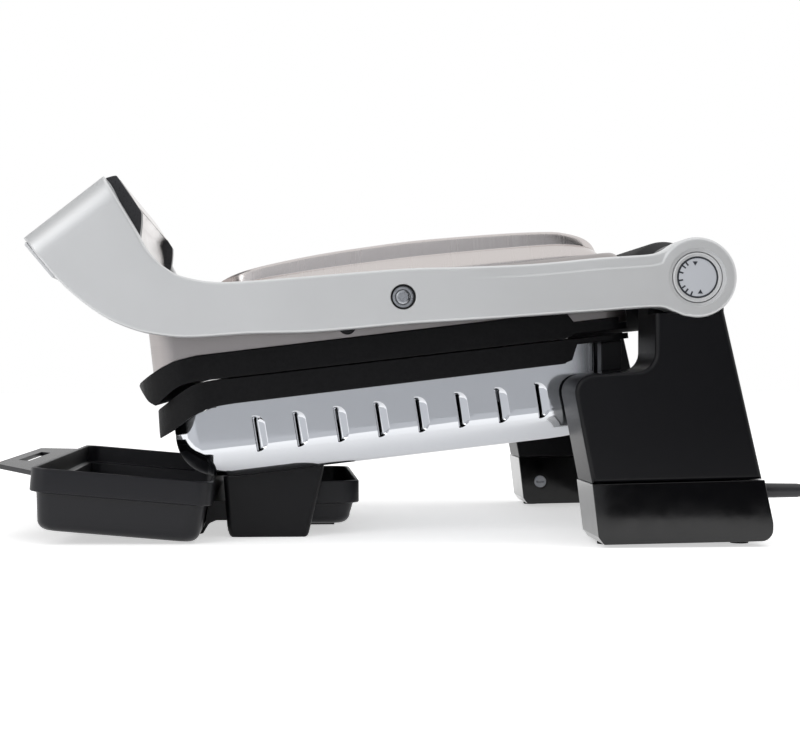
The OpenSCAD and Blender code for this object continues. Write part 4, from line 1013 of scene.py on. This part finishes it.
# Brushed stainless wrap: grain of 0.15 mm along the side, drawn at 0.5 mm to show
brushed_wrap = metal("brushed_wrap", "#A8A3A2", 0.5, height=0.004, gloss=(0.3, 0.42),
                     along=(70, 70, 1))
piece("housing_skirt", housing, brushed_wrap, "upper_unit", "hood_silver",
      "upper_housing", place=ON_PLANE)
button = turned([(-0.6, 0), (-0.6, 3.6), (-0.35, 4.2), (0.3, 4.5), (2.8, 4.5),
                 (2.8, 5.8), (5, 5.8), (5, 0)], (release_x, -hood_y, release_z))
piece("plate_release_button", button, satin_abs, "plate_release", "black_plastic",
      "plate_release", place=ON_PLANE)

# --- Domed cover ---
# A shallow dome drawn from brushed stainless sheet, highest behind its middle and
# dropping steeply at the rear, sunk into the housing's opening.
dome_x0, dome_x1, dome_y = -249.5, -37, 122
crown = [(-249.4, 0.4), (-249.2, 5), (-244.5, 10), (-227, 14.4), (-194, 17.8),
         (-162.7, 19.2), (-134, 19.6), (-90, 18.2), (-64, 16.4), (-54, 14.4),
         (-45, 10.8), (-39.4, 6), (-37.2, 0.3)]
# From the dome's edge inwards: how far, and what share of the crown's height
flank = [(0, -0.07), (0.2, 0.05), (1.6, 0.2), (4.0, 0.34), (6.6, 0.47), (8.2, 0.535),
         (8.4, 0.57), (8.9, 0.7), (9.6, 0.85), (10.1, 0.93), (10.7, 0.97), (12, 0.99),
         (15, 1.0)]


def dome():
    """Loops across the dome from front to rear."""
    side = flowing(flank, 2)
    loops = []
    for x, top in flowing(crown, 5):
        round_r = 22 if x < -150 else 10
        ends = min(x - dome_x0, dome_x1 - x, round_r)
        bulge = math.sqrt(max(round_r ** 2 - (round_r - ends) ** 2, 1))
        arch = [(dome_y - round_r + bulge - d, hood_h + top * share)
                for d, share in side]
        loops.append([(x, y, z) for y, z in arch] + [(x, -y, z) for y, z in arch[::-1]])
    return loops


# Brushed stainless steel: grain of 0.1 mm across the dome, drawn at 0.5 mm to show
brushed_steel = metal("brushed_steel", "#CFC9C7", 0.5, height=0.0008,
                      gloss=(0.18, 0.28), along=(1, 90, 90))
piece("dome_cover", loft(dome()), brushed_steel, "upper_unit",
      "brushed_cover", "lid_cover", place=ON_PLANE, sharp=32)

# --- Drip trays ---
# Two moulded trays with an upright rim band over a tapered tub. The front one hangs on
# the stand's beam, its pull flange raised; the spare one is stored under the pan.
rim_h, rim_step, draft, tray_wall = 13, 3.5, 1.5, 2


def tub(length, width, height, inset):
    """Loops up a tray's form: floor, floor edge, side, step and rim band."""
    band = height - rim_h + inset
    foot = rim_step + draft + inset
    lip = -0.3 if inset else 0.3
    path = [(foot + 6 - inset - (6 - inset) * math.sin(math.radians(15 * k)),
             6 - (6 - inset) * math.cos(math.radians(15 * k))) for k in range(7)]
    path += [(rim_step + inset, band - 1), (rim_step + inset - 0.3, band - 0.3),
             (rim_step + inset - 0.9, band), (inset + 0.9, band + 0.1),
             (inset + 0.3, band + 0.3), (inset, band + 0.9), (inset, height - 0.9),
             (inset + lip, height - 0.3)]
    if not inset:
        path.append((tray_wall / 2, height))
    return [ring(d - length, -d, d - width / 2, width / 2 - d, z, 9.5 - d / 3, 8)
            for d, z in path]


def tray(length, width, height):
    """An open tray, its rear rim at x = 0 and its floor at z = 0."""
    return loft(tub(length, width, height, 0)
                + tub(length, width, height, tray_wall)[::-1])


tray_l, tray_w, tray_h, tray_tilt, pull_l = 96.5, 290, 33.4, math.radians(5.1), 24.5
pull_x, pull_y = -tray_l - pull_l, tray_w / 2 - 47
pull_top, flange_t = tray_h - 2.4, 2.6
flange = bmesh.new()
plan = [(pull_x, pull_y), (pull_x + 2, pull_y + 4), (1 - tray_l, tray_w / 2 - 9)]
flange.faces.new([flange.verts.new((x, y, pull_top - flange_t))
                  for x, y in plan + [(x, -y) for x, y in plan[::-1]]])
bmesh.ops.bevel(flange, geom=[v for v in flange.verts if v.co.x < pull_x + 3],
                offset=3, affect="VERTICES", segments=4, profile=0.5, material=-1)
thickened(flange, (0, 0, flange_t))
flange = carved(flange, box((pull_x + 6, -52, pull_top - 8),
                            (pull_x + 12, 52, pull_top + 4), 2.6, 4, upright))
rims = [e for e in flange.edges if e.is_manifold and e.calc_face_angle() > 0.8
        and not upright(e)]
eased(flange, rims, 0.6, 3)
HUNG = (BY_HINGE @ Matrix.Translation((-256, 0, 0))
        @ Matrix.Rotation(tray_tilt, 4, "Y"))
# Heat-proof polyamide: satin charcoal with a fine moulded grain
tray_nylon = moulded("tray_nylon", "#19191D", 0.3, 0.6, height=0.006, gloss=(0.3, 0.42))
piece("front_tray", merged(tray(tray_l, tray_w, tray_h), flange), tray_nylon,
      "drip_tray", "tray_plastic", "drip_tray", place=HUNG)
STORED = BY_HINGE @ Matrix.Translation((-172.8, 0, 5.3))
piece("stored_tray", tray(68, 160, 25), tray_nylon, "spare_tray", "tray_plastic",
      "spare_tray", place=STORED)


# --- Studio ---
# A white sweep lit by a large soft box overhead and a low one in front. Cards behind
# and beside the camera, and on the table before it, are what the steel reflects.
def studio_sheet(name, finish, *corners):
    """A flat sheet of the studio through its corners."""
    bm = bmesh.new()
    bm.faces.new([bm.verts.new(corner) for corner in corners])
    made = shown(name, meshed(name, bm))
    made.data.materials.append(finish)
    return made


def looked_at(tree):
    """1 for the camera, in reflections and through glass, and 0 for light."""
    rays = node(tree, "ShaderNodeLightPath").outputs
    seen = rays["Is Camera Ray"]
    for other in ("Is Glossy Ray", "Is Transmission Ray"):
        seen = node(tree, "ShaderNodeMath", {0: seen, 1: rays[other]},
                    operation="MAXIMUM").outputs[0]
    return seen


# Matt white paper that shows white to the camera and in reflections
paper = surface("sweep_paper", "#F2F2F2", roughness=0.9)
tree = paper.node_tree
matt = tree.nodes["Principled BSDF"].outputs[0]
glow = node(tree, "ShaderNodeEmission", {"Color": (1, 1, 1, 1), "Strength": 0.55})
both = node(tree, "ShaderNodeAddShader", {0: matt, 1: glow.outputs[0]})
chosen = node(tree, "ShaderNodeMixShader", {0: looked_at(tree), 1: matt,
                                            2: both.outputs[0]})
tree.links.new(chosen.outputs[0], tree.nodes["Material Output"].inputs["Surface"])
studio_sheet("floor", paper, (-6, -6, 0), (6, -6, 0), (6, 6, 0), (-6, 6, 0))

world = bpy.data.worlds.new("studio")
bpy.context.scene.world = world
world.use_nodes = True
tree = world.node_tree
level = node(tree, "ShaderNodeMapRange", {"Value": looked_at(tree), "To Min": 0.5,
                                          "To Max": 1.0})
air = tree.nodes["Background"]
air.inputs["Color"].default_value = (1, 1, 1, 1)
tree.links.new(level.outputs[0], air.inputs["Strength"])


def soft_box(name, location, target, size, watts, mirrored_too=True):
    """A rectangular soft box aimed at a point, shown in reflections or not."""
    lamp = bpy.data.lights.new(name, "AREA")
    lamp.shape = "RECTANGLE"
    lamp.size, lamp.size_y = size
    lamp.energy = watts
    made = shown(name, lamp)
    made.location = location
    made.rotation_euler = (Vector(target) - Vector(location)).to_track_quat(
        "-Z", "Y").to_euler()
    made.visible_glossy = mirrored_too


soft_box("overhead", (0.1, -0.3, 1.6), (0, 0, 0.1), (2.6, 2.0), 18, False)
soft_box("front_fill", (-1.3, -1.5, 0.9), (0, 0, 0.1), (0.9, 0.9), 9)


def card(name, code, *corners):
    """A coloured card that only reflections show."""
    matt_card = pattern(surface(name, code), 8, gloss=(0.85, 0.95))
    made = studio_sheet(name, matt_card, *corners)
    made.visible_camera = made.visible_diffuse = made.visible_shadow = False


# Two cards stand behind the camera and two lie before them: left pale, right dark
for name, code, near, far, end in (("pale", "#DADCE0", 0.148, 0.312, -1.3),
                                   ("dark", "#17171A", 0.149, 0.313, 1.3)):
    card(name + "_card", code, (end, -1.33, 0), (far, -1.33, 0), (far, -1.33, 1.5),
         (end, -1.33, 1.5))
    card(name + "_table_card", code, (end, -0.34, 0.002), (near, -0.34, 0.002),
         (far, -1.33, 0.002), (end, -1.33, 0.002))
card("side_card", "#606266", (-1.25, -0.5, 0.75), (-1.25, 0.9, 0.75),
     (-0.55, 0.9, 1.35), (-0.55, -0.5, 1.35))
